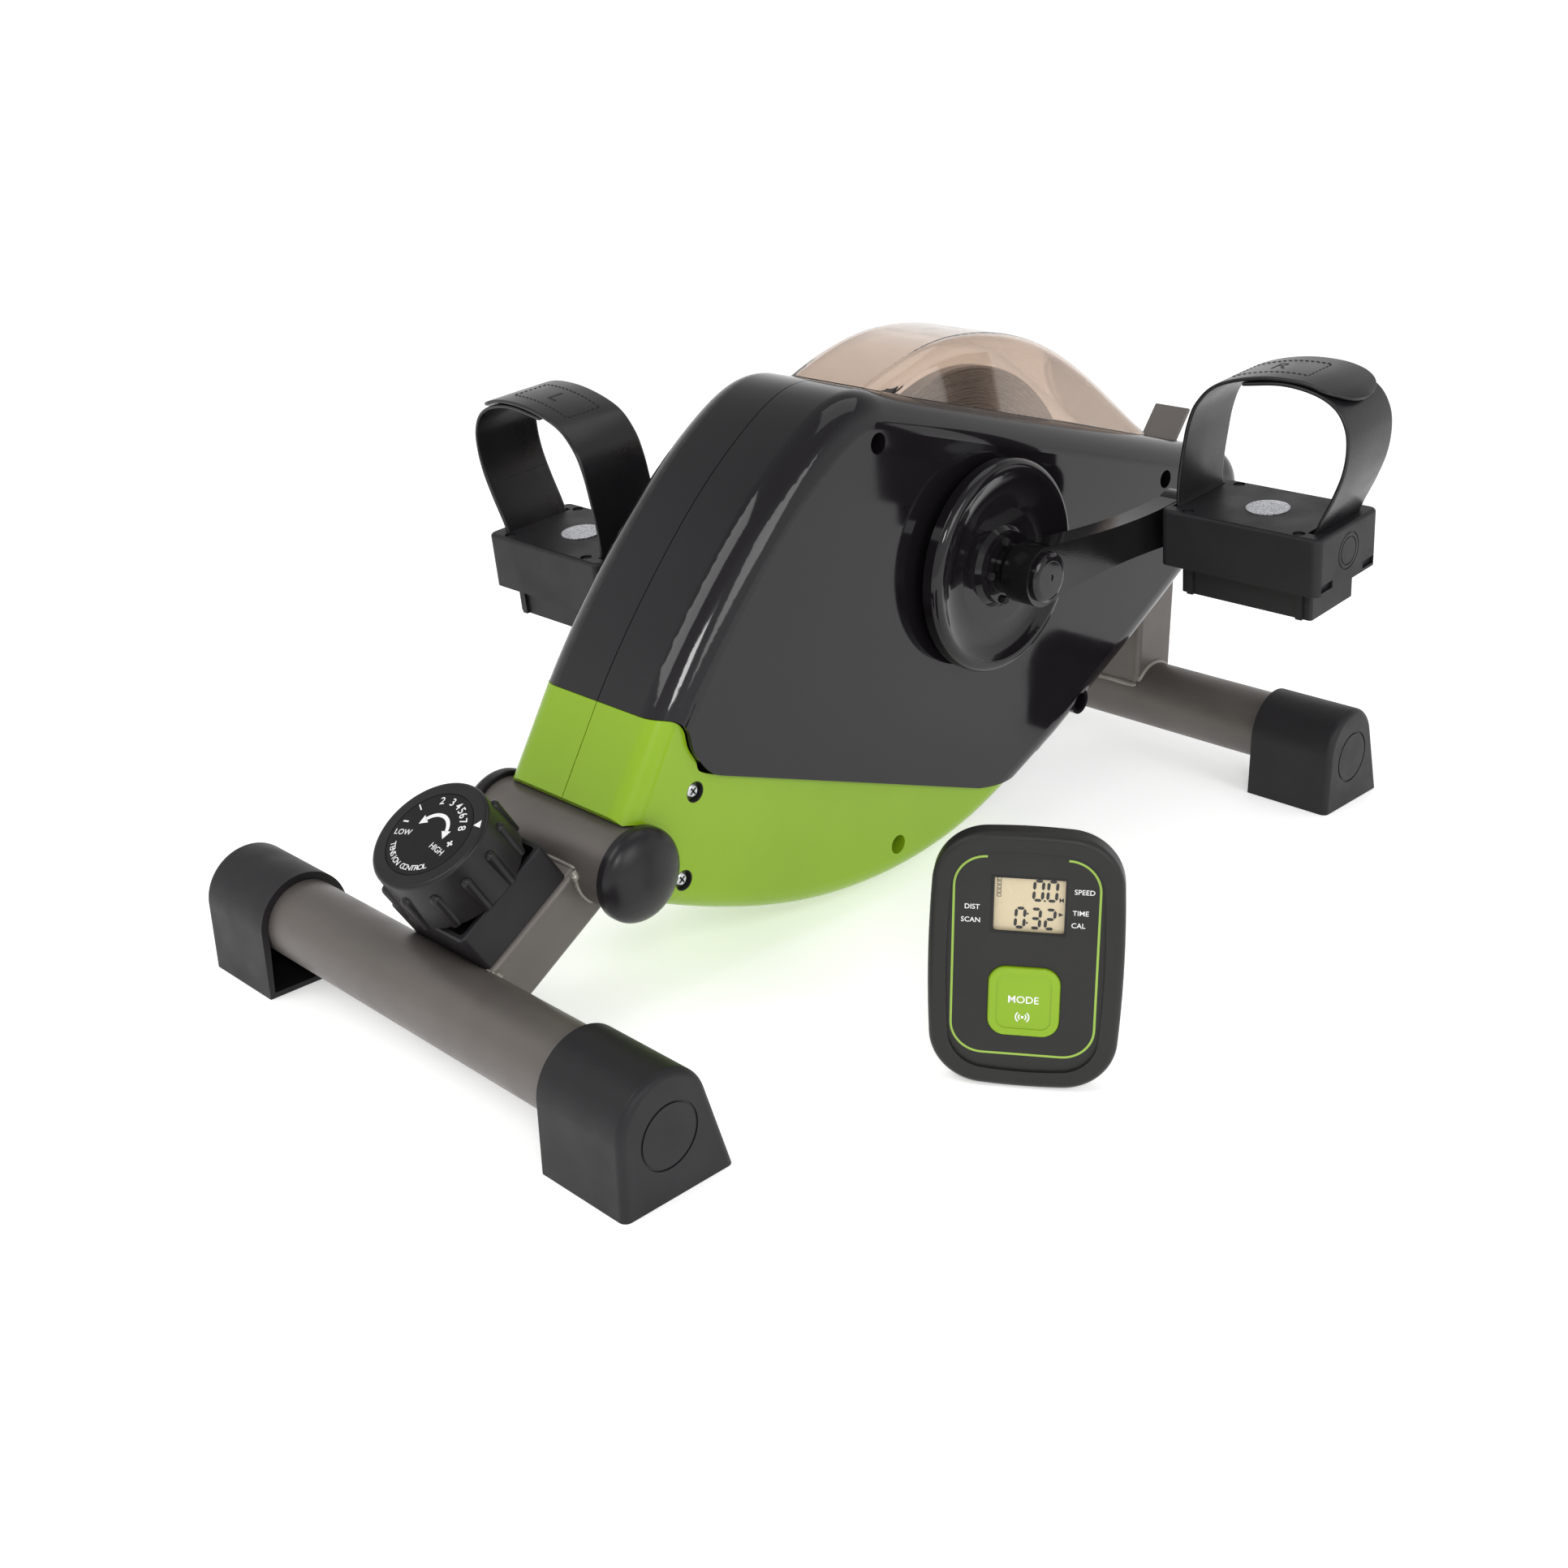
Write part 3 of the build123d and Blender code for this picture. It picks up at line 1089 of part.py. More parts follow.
with BuildPart() as console_back:
    extrude(console_section(-CONSOLE_T), amount=CONSOLE_T + CASE_SPLIT - FIT)
    fillet(console_back.faces().sort_by(Axis(origin=(0, 0, 0), direction=FACE_OUT))[0].edges(), radius=2.5)
    extrude(console_section(-CONSOLE_T + 2.0, 2.2), amount=20, mode=Mode.SUBTRACT)
    with BuildSketch(face(-CONSOLE_T - 1)):
        with Locations((0, 88)):
            Circle(13.0)
        with Locations((0, 45)):
            Rectangle(2 * TAB_HALF + 1.5, 3.6)
    extrude(amount=6, mode=Mode.SUBTRACT)
keep("console_back_case", console_back.part)

with BuildPart() as display:
    with BuildSketch(face(-6.0)):
        with Locations(LCD_AT):
            Rectangle(LCD_W + 7, LCD_H + 7)
    extrude(amount=2.35)
keep("console_display", display.part)

with BuildPart() as mode_button:
    with BuildSketch(face(-3.2)):
        with Locations(BUTTON_AT):
            RectangleRounded(BUTTON_W, BUTTON_H, 8.6)
    extrude(amount=3.2)
    fillet(mode_button.faces().sort_by(Axis(origin=(0, 0, 0), direction=FACE_OUT))[-1].edges(), radius=1.2)
    with BuildSketch(face(-5.2)):
        with Locations(BUTTON_AT):
            RectangleRounded(BUTTON_W + 4, BUTTON_H + 4, 9.6)
    extrude(amount=1.25)
    with BuildSketch(face(-5.2)):
        with Locations(BUTTON_AT):
            RectangleRounded(BUTTON_W - 6, BUTTON_H - 6, 5.0)
    extrude(amount=2.4)
    with BuildSketch(face(0)):
        with Locations(BUTTON_AT):
            RectangleRounded(BUTTON_W - 8, BUTTON_H - 8, 5.0)
    extrude(amount=-0.4, mode=Mode.SUBTRACT)
keep("mode_button", mode_button.part)

with BuildPart() as circuit_board:
    with BuildSketch(face(-8.9)):
        with Locations((0, 70)):
            RectangleRounded(66, 104, 8)
    extrude(amount=1.4)
    with BuildSketch(face(-7.5)):
        with Locations(BUTTON_AT):
            Rectangle(6, 6)
    extrude(amount=0.9)
keep("console_circuit_board", circuit_board.part)

with BuildPart() as coin_cell:
    with BuildSketch(face(-12.6)):
        with Locations((0, 88)):
            Circle(10.0)
    extrude(amount=3.2)
keep("console_coin_cell", coin_cell.part)

with BuildPart() as cell_cover:
    with BuildSketch(face(-CONSOLE_T)):
        with Locations((0, 88)):
            Circle(12.9)
    extrude(amount=1.2)
    with BuildSketch(face(-CONSOLE_T)):
        with Locations((0, 88)):
            Rectangle(14, 1.8)
    extrude(amount=0.7, mode=Mode.SUBTRACT)
keep("console_cell_cover", cell_cover.part)

os.makedirs("parts", exist_ok=True)
for name, part in pieces.items():
    export_step(part, f"parts/{name}.step")
print(len(pieces), "nodes")
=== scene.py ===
"""Studio scene of an under-desk pedal exerciser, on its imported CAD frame."""
import json
from math import cos, pi, radians, sin, sqrt, tau

import bpy
from mathutils import Matrix, Vector


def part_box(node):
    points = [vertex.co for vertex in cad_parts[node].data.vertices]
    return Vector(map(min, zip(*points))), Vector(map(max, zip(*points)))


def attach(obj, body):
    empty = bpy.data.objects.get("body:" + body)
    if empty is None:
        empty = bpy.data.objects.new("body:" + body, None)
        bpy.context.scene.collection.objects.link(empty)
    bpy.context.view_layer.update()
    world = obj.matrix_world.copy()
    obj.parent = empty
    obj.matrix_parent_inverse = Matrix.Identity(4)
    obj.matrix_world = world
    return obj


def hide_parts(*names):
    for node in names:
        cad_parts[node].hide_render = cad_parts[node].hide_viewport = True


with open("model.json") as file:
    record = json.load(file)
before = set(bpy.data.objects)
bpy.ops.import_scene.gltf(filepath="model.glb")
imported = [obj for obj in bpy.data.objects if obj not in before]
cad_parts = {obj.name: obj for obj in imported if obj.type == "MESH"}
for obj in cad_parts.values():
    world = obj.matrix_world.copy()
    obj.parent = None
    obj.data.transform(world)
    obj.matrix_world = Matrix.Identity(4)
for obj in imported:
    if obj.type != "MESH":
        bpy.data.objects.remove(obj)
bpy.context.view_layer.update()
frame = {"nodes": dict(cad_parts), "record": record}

NODES = frame["nodes"]
JOINTS = {joint["name"]: joint for joint in frame["record"]["behaviour"]["joints"]}


def middle(node):
    """Centre of a CAD node's box."""
    low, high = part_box(node)
    return (Vector(low) + Vector(high)) / 2


# Machine coordinates are in millimetres: x from the mid-plane, y from the front tube's axis and
# z from the floor.
TUBE = middle("front_stabilizer_tube")


def mm(x, y, z):
    """A machine point in millimetres as a point of the row frame in metres."""
    return Vector((TUBE.x + x / 1000, TUBE.y + y / 1000, z / 1000))


# ---------------------------------------------------------------- camera
AZIMUTH, ELEVATION, ROLL = radians(44.787), radians(21.291), radians(-0.767)
CAMERA_AT = mm(713.4, -466.85, 507.32)
back = Vector(
    (sin(AZIMUTH) * cos(ELEVATION), -cos(AZIMUTH) * cos(ELEVATION), sin(ELEVATION))
)
level = Vector((cos(AZIMUTH), sin(AZIMUTH), 0))
upright = back.cross(level)
right = level * cos(ROLL) + upright * sin(ROLL)
up = upright * cos(ROLL) - level * sin(ROLL)
lens = bpy.data.cameras.new("camera")
lens.lens, lens.sensor_width, lens.clip_start = 43.67, 36.0, 0.05
lens.shift_x, lens.shift_y = -0.0008, -0.0414
camera = bpy.data.objects.new("camera", lens)
turned = Matrix((right, up, back)).transposed().to_quaternion()
camera.matrix_world = Matrix.LocRotScale(CAMERA_AT, turned, None)
bpy.context.collection.objects.link(camera)
bpy.context.scene.camera = camera


# ---------------------------------------------------------------- materials
class Nodes:
    """A material's node tree, with short calls for the nodes that this scene uses."""

    def __init__(self, name):
        self.material = bpy.data.materials.new(name)
        self.material.use_nodes = True
        self.tree = self.material.node_tree
        self.shader = self.tree.nodes["Principled BSDF"]
        self.place = self.tree.nodes.new("ShaderNodeTexCoord").outputs["Object"]

    def set(self, **values):
        """Set sockets of the shader; an underscore stands for a space."""
        for key, value in values.items():
            self.shader.inputs[key.replace("_", " ")].default_value = value
        return self

    def link(self, source, target):
        self.tree.links.new(source, target)

    def noise(self, scale, detail=4.0):
        """Noise in object space, its scale per metre."""
        node = self.tree.nodes.new("ShaderNodeTexNoise")
        node.inputs["Scale"].default_value = scale
        node.inputs["Detail"].default_value = detail
        self.link(self.place, node.inputs["Vector"])
        return node.outputs["Fac"]

    def ramp(self, value, low, high, start=0.3, end=0.7):
        """Blend two colours, or two greys given as numbers, by a value."""
        node = self.tree.nodes.new("ShaderNodeValToRGB")
        for element, place, tone in zip(node.color_ramp.elements, (start, end), (low, high)):
            element.position = place
            element.color = (*tone, 1) if isinstance(tone, tuple) else (tone, tone, tone, 1)
        self.link(value, node.inputs["Fac"])
        return node.outputs["Color"]

    def maths(self, operation, a, b=0.0):
        """A Math node over values or sockets."""
        node = self.tree.nodes.new("ShaderNodeMath")
        node.operation = operation
        for socket, value in zip(node.inputs, (a, b)):
            if isinstance(value, (int, float)):
                socket.default_value = value
            else:
                self.link(value, socket)
        return node.outputs["Value"]

    def colour(self, value, low, high, start=0.3, end=0.7):
        self.link(self.ramp(value, low, high, start, end), self.shader.inputs["Base Color"])
        return self

    def rough(self, value, low, high):
        self.link(self.ramp(value, low, high), self.shader.inputs["Roughness"])
        return self

    def bump(self, value, distance, strength):
        """Bump from a height value, its full height given in metres."""
        node = self.tree.nodes.new("ShaderNodeBump")
        node.inputs["Strength"].default_value = strength
        node.inputs["Distance"].default_value = distance
        self.link(value, node.inputs["Height"])
        self.link(node.outputs["Normal"], self.shader.inputs["Normal"])
        return self


def moulded(name, dark, light, low, high, grain=2600.0, depth=0.00006, **values):
    """Moulded plastic: slow tone changes, uneven sheen and a fine grain."""
    made = Nodes(name).set(**values)
    made.colour(made.noise(14), dark, light).rough(made.noise(45), low, high)
    made.bump(made.noise(grain, 2.0), depth, 0.5)
    return made.material


def polished(name, dark, light, low, high, **values):
    """Polished moulding: almost even colour, faint haze and slow ripples."""
    made = Nodes(name).set(**values)
    made.colour(made.noise(9), dark, light).rough(made.noise(30, 8.0), low, high)
    made.bump(made.noise(26, 1.0), 0.0004, 0.12)
    return made.material


def enamel(name, dark, light, low, high, **values):
    """Sprayed paint or powder coat with a fine orange peel."""
    made = Nodes(name).set(**values)
    made.colour(made.noise(20), dark, light).rough(made.noise(60), low, high)
    made.bump(made.noise(1100, 2.0), 0.00007, 0.45)
    return made.material


def turned_metal(name, dark, light, centre, low=0.2, high=0.38):
    """Lathe-turned metal: fine rings about the line along X through a centre."""
    made = Nodes(name).set(Metallic=1.0)
    split = made.tree.nodes.new("ShaderNodeSeparateXYZ")
    made.link(made.place, split.inputs["Vector"])
    along = made.maths("POWER", made.maths("SUBTRACT", split.outputs["Y"], centre.y), 2.0)
    high_up = made.maths("POWER", made.maths("SUBTRACT", split.outputs["Z"], centre.z), 2.0)
    radius = made.maths("SQRT", made.maths("ADD", along, high_up))
    rings = made.tree.nodes.new("ShaderNodeTexNoise")
    rings.noise_dimensions = "1D"
    rings.inputs["Scale"].default_value = 1500
    made.link(radius, rings.inputs["W"])
    made.colour(rings.outputs["Fac"], dark, light).rough(rings.outputs["Fac"], low, high)
    made.bump(rings.outputs["Fac"], 0.00004, 0.4)
    return made.material


def metal(name, dark, light, low, high, **values):
    """Plain plated or drawn metal."""
    made = Nodes(name).set(Metallic=1.0, **values)
    made.colour(made.noise(120), dark, light).rough(made.noise(300), low, high)
    made.bump(made.noise(1600, 2.0), 0.00003, 0.4)
    return made.material


TAUPE = enamel(
    "taupe_powder_coat", (0.104, 0.092, 0.083), (0.122, 0.108, 0.098), 0.36, 0.46, Metallic=0.35
)
WELD = enamel("painted_weld", (0.20, 0.185, 0.165), (0.30, 0.28, 0.25), 0.3, 0.45, Metallic=0.4)
BLACK_MOULDING = moulded(
    "black_moulding", (0.0095, 0.0084, 0.0098), (0.0150, 0.0134, 0.0154), 0.42, 0.55,
    Specular_IOR_Level=0.26,
)
CONSOLE_BLACK = moulded(
    "console_black", (0.0120, 0.0115, 0.0108), (0.0160, 0.0154, 0.0146), 0.38, 0.48,
    Specular_IOR_Level=0.30,
)
GLOSS_BLACK = polished(
    "gloss_black", (0.0062, 0.0052, 0.0064), (0.0085, 0.0072, 0.0088), 0.05, 0.10,
    Specular_IOR_Level=0.36,
)
GREEN = polished(
    "gloss_green", (0.195, 0.340, 0.007), (0.218, 0.368, 0.010), 0.20, 0.27,
    Specular_IOR_Level=0.36,
)
BLACK_ENAMEL = enamel(
    "black_enamel", (0.0050, 0.0046, 0.0050), (0.0080, 0.0075, 0.0080), 0.10, 0.16,
    Specular_IOR_Level=0.42,
)
STEEL = turned_metal("turned_steel", (0.42, 0.42, 0.43), (0.60, 0.60, 0.61), middle("flywheel"))
BRIGHT = metal("bright_steel", (0.50, 0.50, 0.50), (0.66, 0.66, 0.66), 0.22, 0.34)
ZINC = metal("zinc_plate", (0.46, 0.47, 0.48), (0.66, 0.67, 0.68), 0.24, 0.36)
ALLOY = metal("cast_alloy", (0.48, 0.48, 0.49), (0.60, 0.60, 0.61), 0.36, 0.5)
NICKEL = metal("nickel", (0.40, 0.40, 0.42), (0.52, 0.52, 0.54), 0.15, 0.25)
RUBBER = moulded(
    "belt_rubber", (0.010, 0.010, 0.010), (0.018, 0.018, 0.018), 0.6, 0.75, grain=900, depth=0.0001
)
BOARD = enamel("circuit_board", (0.012, 0.070, 0.022), (0.018, 0.100, 0.030), 0.3, 0.4)
STRAP = moulded(
    "coated_strap", (0.0075, 0.0070, 0.0080), (0.0130, 0.0122, 0.0138), 0.24, 0.36,
    grain=700, depth=0.00010, Specular_IOR_Level=0.38,
)
THREAD = moulded(
    "black_thread", (0.004, 0.004, 0.004), (0.010, 0.010, 0.010), 0.6, 0.8, grain=4000
)
DIAL_BLACK = moulded(
    "dial_black", (0.0070, 0.0064, 0.0070), (0.0100, 0.0094, 0.0100), 0.35, 0.42,
    grain=3500, Specular_IOR_Level=0.16,
)
SATIN_BLACK = moulded(
    "satin_black", (0.0080, 0.0072, 0.0082), (0.0125, 0.0112, 0.0128), 0.26, 0.34,
    Specular_IOR_Level=0.28,
)
WHITE_PRINT = moulded(
    "white_print", (0.72, 0.72, 0.72), (0.80, 0.80, 0.80), 0.45, 0.55, grain=4000
)
GREEN_PRINT = moulded(
    "green_print", (0.235, 0.385, 0.045), (0.27, 0.42, 0.055), 0.4, 0.5, grain=4000
)
LCD_INK = moulded(
    "display_segments", (0.010, 0.012, 0.012), (0.016, 0.018, 0.018), 0.3, 0.4, grain=4000
)
LCD_BACK = moulded(
    "display_back", (0.50, 0.42, 0.275), (0.56, 0.475, 0.315), 0.25, 0.32,
    grain=5000, depth=0.00001,
)
# Near-black for painted shade: the dark of screw holes, of the cross recesses in screw heads and
# of the gap round the display.
RECESS_SHADE = moulded("painted_recess_shade", (0.002, 0.002, 0.002), (0.004, 0.004, 0.004), 0.7, 0.8)


def smoke():
    """Clear smoked plastic."""
    made = Nodes("smoked_plastic").set(IOR=1.46, Transmission_Weight=1.0, Specular_IOR_Level=0.5)
    made.colour(made.noise(6), (0.700, 0.605, 0.535), (0.750, 0.650, 0.578))
    made.rough(made.noise(20), 0.015, 0.04)
    return made.material


def glitter():
    """Silver glitter: small flakes, each with its own tone and sheen."""
    made = Nodes("glitter").set(Metallic=0.75)
    flakes = made.tree.nodes.new("ShaderNodeTexVoronoi")
    flakes.inputs["Scale"].default_value = 1300
    made.link(made.place, flakes.inputs["Vector"])
    tone = made.maths("MULTIPLY", flakes.outputs["Color"], 1.0)
    made.colour(tone, (0.22, 0.22, 0.24), (0.85, 0.86, 0.90), 0.2, 0.9).rough(tone, 0.15, 0.5)
    made.bump(tone, 0.00025, 0.8)
    return made.material


SMOKE, GLITTER = smoke(), glitter()

FINISHES = {
    TAUPE: (
        "front_stabilizer_tube rear_stabilizer_tube neck_tube handle_bar spine_tube rear_post"
        " spine_brackets bottom_bracket_shell cover_lugs brake_arm console_bracket"
    ),
    BLACK_MOULDING: (
        "front_left_foot front_right_foot rear_left_foot rear_right_foot knob_tray"
        " right_pedal_body left_pedal_body right_pedal_counterweight left_pedal_counterweight"
        " speed_sender"
    ),
    SATIN_BLACK: "handle_end_caps tension_knob",
    CONSOLE_BLACK: "console_front_case console_back_case console_cell_cover",
    GLOSS_BLACK: "left_upper_cover right_upper_cover crank_covers",
    BLACK_ENAMEL: "right_crank_arm left_crank_arm",
    GREEN: "left_lower_cover right_lower_cover mode_button",
    SMOKE: "dome_cover",
    STEEL: "flywheel",
    BRIGHT: (
        "crank_axle crank_bearings jackshaft flywheel_bearings pedal_spindles brake_pivot_pin"
        " brake_cable console_coin_cell"
    ),
    ZINC: "cover_screws",
    ALLOY: "drive_pulley jackshaft_pulley",
    NICKEL: "brake_magnets speed_magnet",
    RUBBER: "drive_belts",
    BOARD: "console_circuit_board",
    STRAP: "right_pedal_strap left_pedal_strap",
    GLITTER: "right_pedal_reflector left_pedal_reflector",
    DIAL_BLACK: "dial_plate",
    LCD_BACK: "console_display",
    # The pedal and crank disc screws are painted near-black: painted shade of their holes.
    RECESS_SHADE: "crank_disc_screws right_pedal_screws left_pedal_screws",
}
for finish, names in FINISHES.items():
    for name in names.split():
        slots = NODES[name].material_slots
        if not slots:
            NODES[name].data.materials.append(finish)
        for slot in slots:
            slot.material = finish


# ---------------------------------------------------------------- building
# Flat prints are this thick and lie this far off the face that carries them, in metres.
PRINT_T, LIFT = 0.00006, 0.00002


def keep(name, mesh, material, body, smooth=False):
    """Put a mesh into the scene as a piece that rides on a body."""
    obj = bpy.data.objects.new(name, mesh)
    bpy.context.collection.objects.link(obj)
    mesh.materials.clear()
    mesh.materials.append(material)
    for polygon in mesh.polygons:
        polygon.use_smooth = smooth
    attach(obj, body)
    return obj


def joined(shapes):
    """One mesh from (vertices, faces) lists, each with a matrix or None."""
    vertices, faces = [], []
    for points, polygons, place in shapes:
        first = len(vertices)
        vertices += [place @ Vector(p) if place else Vector(p) for p in points]
        faces += [[first + index for index in polygon] for polygon in polygons]
    mesh = bpy.data.meshes.new("piece")
    mesh.from_pydata(vertices, [], faces)
    return mesh


def block(half_w, half_h):
    """The outline of an upright rectangle about the origin."""
    return [(-half_w, -half_h), (half_w, -half_h), (half_w, half_h), (-half_w, half_h)]


def slab(outline):
    """A flat shape with a print's thickness, from a convex outline in x and y."""
    count = len(outline)
    points = [(x, y, 0) for x, y in outline] + [(x, y, PRINT_T) for x, y in outline]
    faces = [list(range(count, 2 * count)), list(range(count - 1, -1, -1))]
    faces += [[i, (i + 1) % count, count + (i + 1) % count, count + i] for i in range(count)]
    return points, faces


def stroke(path, width, closed=False):
    """A flat line of constant width along (x, y) points."""
    count = len(path)
    sides = []
    for i, here in enumerate(path):
        before = path[(i - 1) % count] if closed or i else here
        after = path[(i + 1) % count] if closed or i < count - 1 else here
        heading = (Vector(after) - Vector(before)).normalized()
        off = Vector((-heading.y, heading.x)) * width / 2
        sides.append((Vector(here) + off, Vector(here) - off))
    points = [(*p, z) for z in (0.0, PRINT_T) for pair in sides for p in pair]
    faces = []
    top = 2 * count
    for i in range(count if closed else count - 1):
        a, b = 2 * i, 2 * ((i + 1) % count)
        faces += [[top + a, top + a + 1, top + b + 1, top + b], [a, a + 1, top + a + 1, top + a]]
        faces += [[b, a, top + a, top + b][::-1], [a + 1, b + 1, top + b + 1, top + a + 1]]
    return points, faces


def letters(text, size):
    """A word as (vertices, faces), centred on the origin, capitals about 0.7 of the size high."""
    curve = bpy.data.curves.new("word", "FONT")
    curve.body, curve.size = text, size
    curve.align_x, curve.align_y = "CENTER", "CENTER"
    curve.extrude, curve.offset, curve.resolution_u = PRINT_T / 2, size * 0.005, 3
    holder = bpy.data.objects.new("word", curve)
    mesh = bpy.data.meshes.new_from_object(holder)
    made = [tuple(v.co) for v in mesh.vertices], [list(p.vertices) for p in mesh.polygons]
    bpy.data.objects.remove(holder)
    return made


def on_face(origin, across, upwards):
    """A function that places flat shapes: x and y in metres and a turn in degrees to a matrix."""
    base = Matrix((across, upwards, across.cross(upwards))).transposed().to_4x4()

    def place(x, y, turn=0.0):
        spin = Matrix.Rotation(radians(turn), 4, "Z")
        return Matrix.Translation(origin) @ base @ Matrix.Translation((x, y, 0)) @ spin

    return place


def reach(node, axis):
    """How far a CAD node's vertices go along a direction."""
    return max(v.co.dot(axis) for v in NODES[node].data.vertices)


def moved_to(point, axis, level):
    """A point moved along a direction to a level on it."""
    return point + axis * (level - point.dot(axis))


def arc_points(radius, start, end, steps, centre=(0.0, 0.0)):
    """Points of an arc, its angles in degrees."""
    turns = [radians(start + (end - start) * i / steps) for i in range(steps + 1)]
    return [(centre[0] + radius * cos(t), centre[1] + radius * sin(t)) for t in turns]


def tube(path, radii, sides):
    """A round closed tube along 3-D points, with a radius for each."""
    points, faces = [], []
    for i, here in enumerate(path):
        heading = (path[min(i + 1, len(path) - 1)] - path[max(i - 1, 0)]).normalized()
        across = across - heading * across.dot(heading) if i else heading.orthogonal()
        across = across.normalized()
        other = heading.cross(across)
        for k in range(sides):
            turn = tau * k / sides
            points.append(here + (across * cos(turn) + other * sin(turn)) * radii[i])
    for i in range(len(path) - 1):
        for k in range(sides):
            a, b = i * sides + k, i * sides + (k + 1) % sides
            faces.append([a, b, b + sides, a + sides])
    faces += [list(range(sides - 1, -1, -1)), [len(points) - sides + k for k in range(sides)]]
    return points, faces, None


# ---------------------------------------------------------------- weld beads
# The round tubes' radius, the front one's height, the neck's slope and half its width, the
# handle bar's axis along the neck and below its middle, in machine millimetres.
TUBE_R, TUBE_Z = 22.2, 39.2
NECK, NECK_HALF = radians(33), 32
BAR_ALONG, BAR_DROP = 104, 7.3


def neck_point(x, along, across):
    """A machine point given along the neck and square to it."""
    y = along * cos(NECK) - across * sin(NECK)
    return mm(x, y, TUBE_Z + along * sin(NECK) + across * cos(NECK))


def tube_edge(across):
    """Where the neck's side meets the front tube, along the neck."""
    return sqrt(max(TUBE_R**2 - across * across, 9))


def bar_edge(across):
    """Where the neck's side meets the handle bar, along the neck."""
    return BAR_ALONG - sqrt(TUBE_R**2 - (across + BAR_DROP) ** 2)


def bead(points, size):
    """A weld bead along points: overlapping ripples with a slightly uneven width."""
    fine = []
    for a, b in zip(points, points[1:]):
        steps = max(2, round((b - a).length / 0.0006))
        fine += [a.lerp(b, i / steps) for i in range(steps)]
    radii = [size * (1 + 0.16 * abs(sin(i * 0.9)) + 0.1 * sin(i * 0.17)) for i in range(len(fine))]
    for end in range(4):
        radii[end] *= 0.45 + 0.15 * end
        radii[-1 - end] *= 0.45 + 0.15 * end
    return tube(fine, radii, 8)


neck_beads = []
levels = [7.0 - 1.4 * i for i in range(19)]
for x in (-NECK_HALF, NECK_HALF):
    neck_beads.append(bead([neck_point(x, tube_edge(p), p) for p in levels], 0.0011))
    neck_beads.append(bead([neck_point(x, bar_edge(p), p) for p in levels[:18]], 0.0013))
    corner = neck_point(x, bar_edge(7.2) - 0.6, 6.6)
    neck_beads.append(bead([corner, corner + Vector((0, -0.0006, -0.006))], 0.0026))
    corner = neck_point(x * 1.02, tube_edge(7) + 0.8, 5.6)
    neck_beads.append(bead([corner, corner + Vector((0, 0.002, -0.005))], 0.0030))
crosswise = (-NECK_HALF, -10, 10, NECK_HALF)
neck_beads.append(bead([neck_point(x, 20.9, 7.4) for x in crosswise], 0.0009))
neck_beads.append(bead([neck_point(x, bar_edge(7.5), 7.5) for x in crosswise], 0.0011))
keep("neck_weld_beads", joined(neck_beads), WELD, "frame", smooth=True)

post_low, post_high = (Vector(corner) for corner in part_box("rear_post"))
rear_axis = middle("rear_stabilizer_tube")


def on_rear_tube(x, y):
    """A point on top of the rear tube, in metres of the row frame."""
    return Vector((x, y, rear_axis.z + sqrt((TUBE_R / 1000) ** 2 - (y - rear_axis.y) ** 2)))


post_beads = []
depth = post_high.y - post_low.y - 0.003
for x in (post_low.x, post_high.x):
    path = [on_rear_tube(x, post_low.y + 0.0015 + depth * step / 14) for step in range(15)]
    post_beads.append(bead(path, 0.0019))
for y in (post_low.y, post_high.y):
    post_beads.append(bead([on_rear_tube(x, y) for x in (post_low.x, post_high.x)], 0.0019))
keep("post_weld_beads", joined(post_beads), WELD, "frame", smooth=True)

# ---------------------------------------------------------------- dial printing
knob = JOINTS["knob_turn"]
knob_axis = Vector(knob["axis"]).normalized()
across = Vector((1, 0, 0))
upslope = knob_axis.cross(across)
dial_centre = moved_to(Vector(knob["pos_m"]), knob_axis, reach("dial_plate", knob_axis) + LIFT)
on_dial = on_face(dial_centre, across, upslope)


def polar(radius, angle):
    """x and y in metres of a polar place in millimetres and degrees."""
    return radius / 1000 * cos(radians(angle)), radius / 1000 * sin(radians(angle))


def dial_mark(shape, radius, angle, turn):
    """A printed shape at a polar place on the dial, in millimetres and degrees."""
    return *shape, on_dial(*polar(radius, angle), turn)


marks = []
for number, angle, radius in (
    (1, 151, 21.0), (2, 115.6, 20.0), (3, 95.3, 19.6), (4, 79.9, 19.2),
    (5, 67.3, 18.9), (6, 56.4, 18.7), (7, 44.3, 18.5), (8, 30.9, 18.4),
):
    marks.append(dial_mark(letters(str(number), 0.0062), radius, angle, angle - 90))
marks.append(dial_mark(letters("LOW", 0.0046), 17.0, -163, 17))
marks.append(dial_mark(letters("HIGH", 0.0046), 12.8, -25, -8))
marks.append(dial_mark(slab(block(0.0017, 0.00045)), 20.0, 178, 14))
for turn in (0, 90):
    marks.append(dial_mark(slab(block(0.0018, 0.0005)), 16.6, 0, turn))
for index, letter in enumerate("TENSION CONTROL"):
    if letter != " ":
        angle = -142 + index * 6.6
        marks.append(dial_mark(letters(letter, 0.0044), 20.4, angle, angle + 90))
ARROW_START, ARROW_END = 152, 18
sweep = arc_points(0.0098, ARROW_START, ARROW_END, 28, centre=(-0.0006, 0.0014))
marks.append((*stroke(sweep, 0.0021), on_dial(0, 0)))
for spot, heading in ((sweep[0], ARROW_START + 90), (sweep[-1], ARROW_END - 90)):
    tip = slab([(0.0042, 0), (-0.0004, 0.0029), (-0.0004, -0.0029)])
    marks.append((*tip, on_dial(*spot, heading)))
keep("dial_print", joined(marks), WHITE_PRINT, "frame")

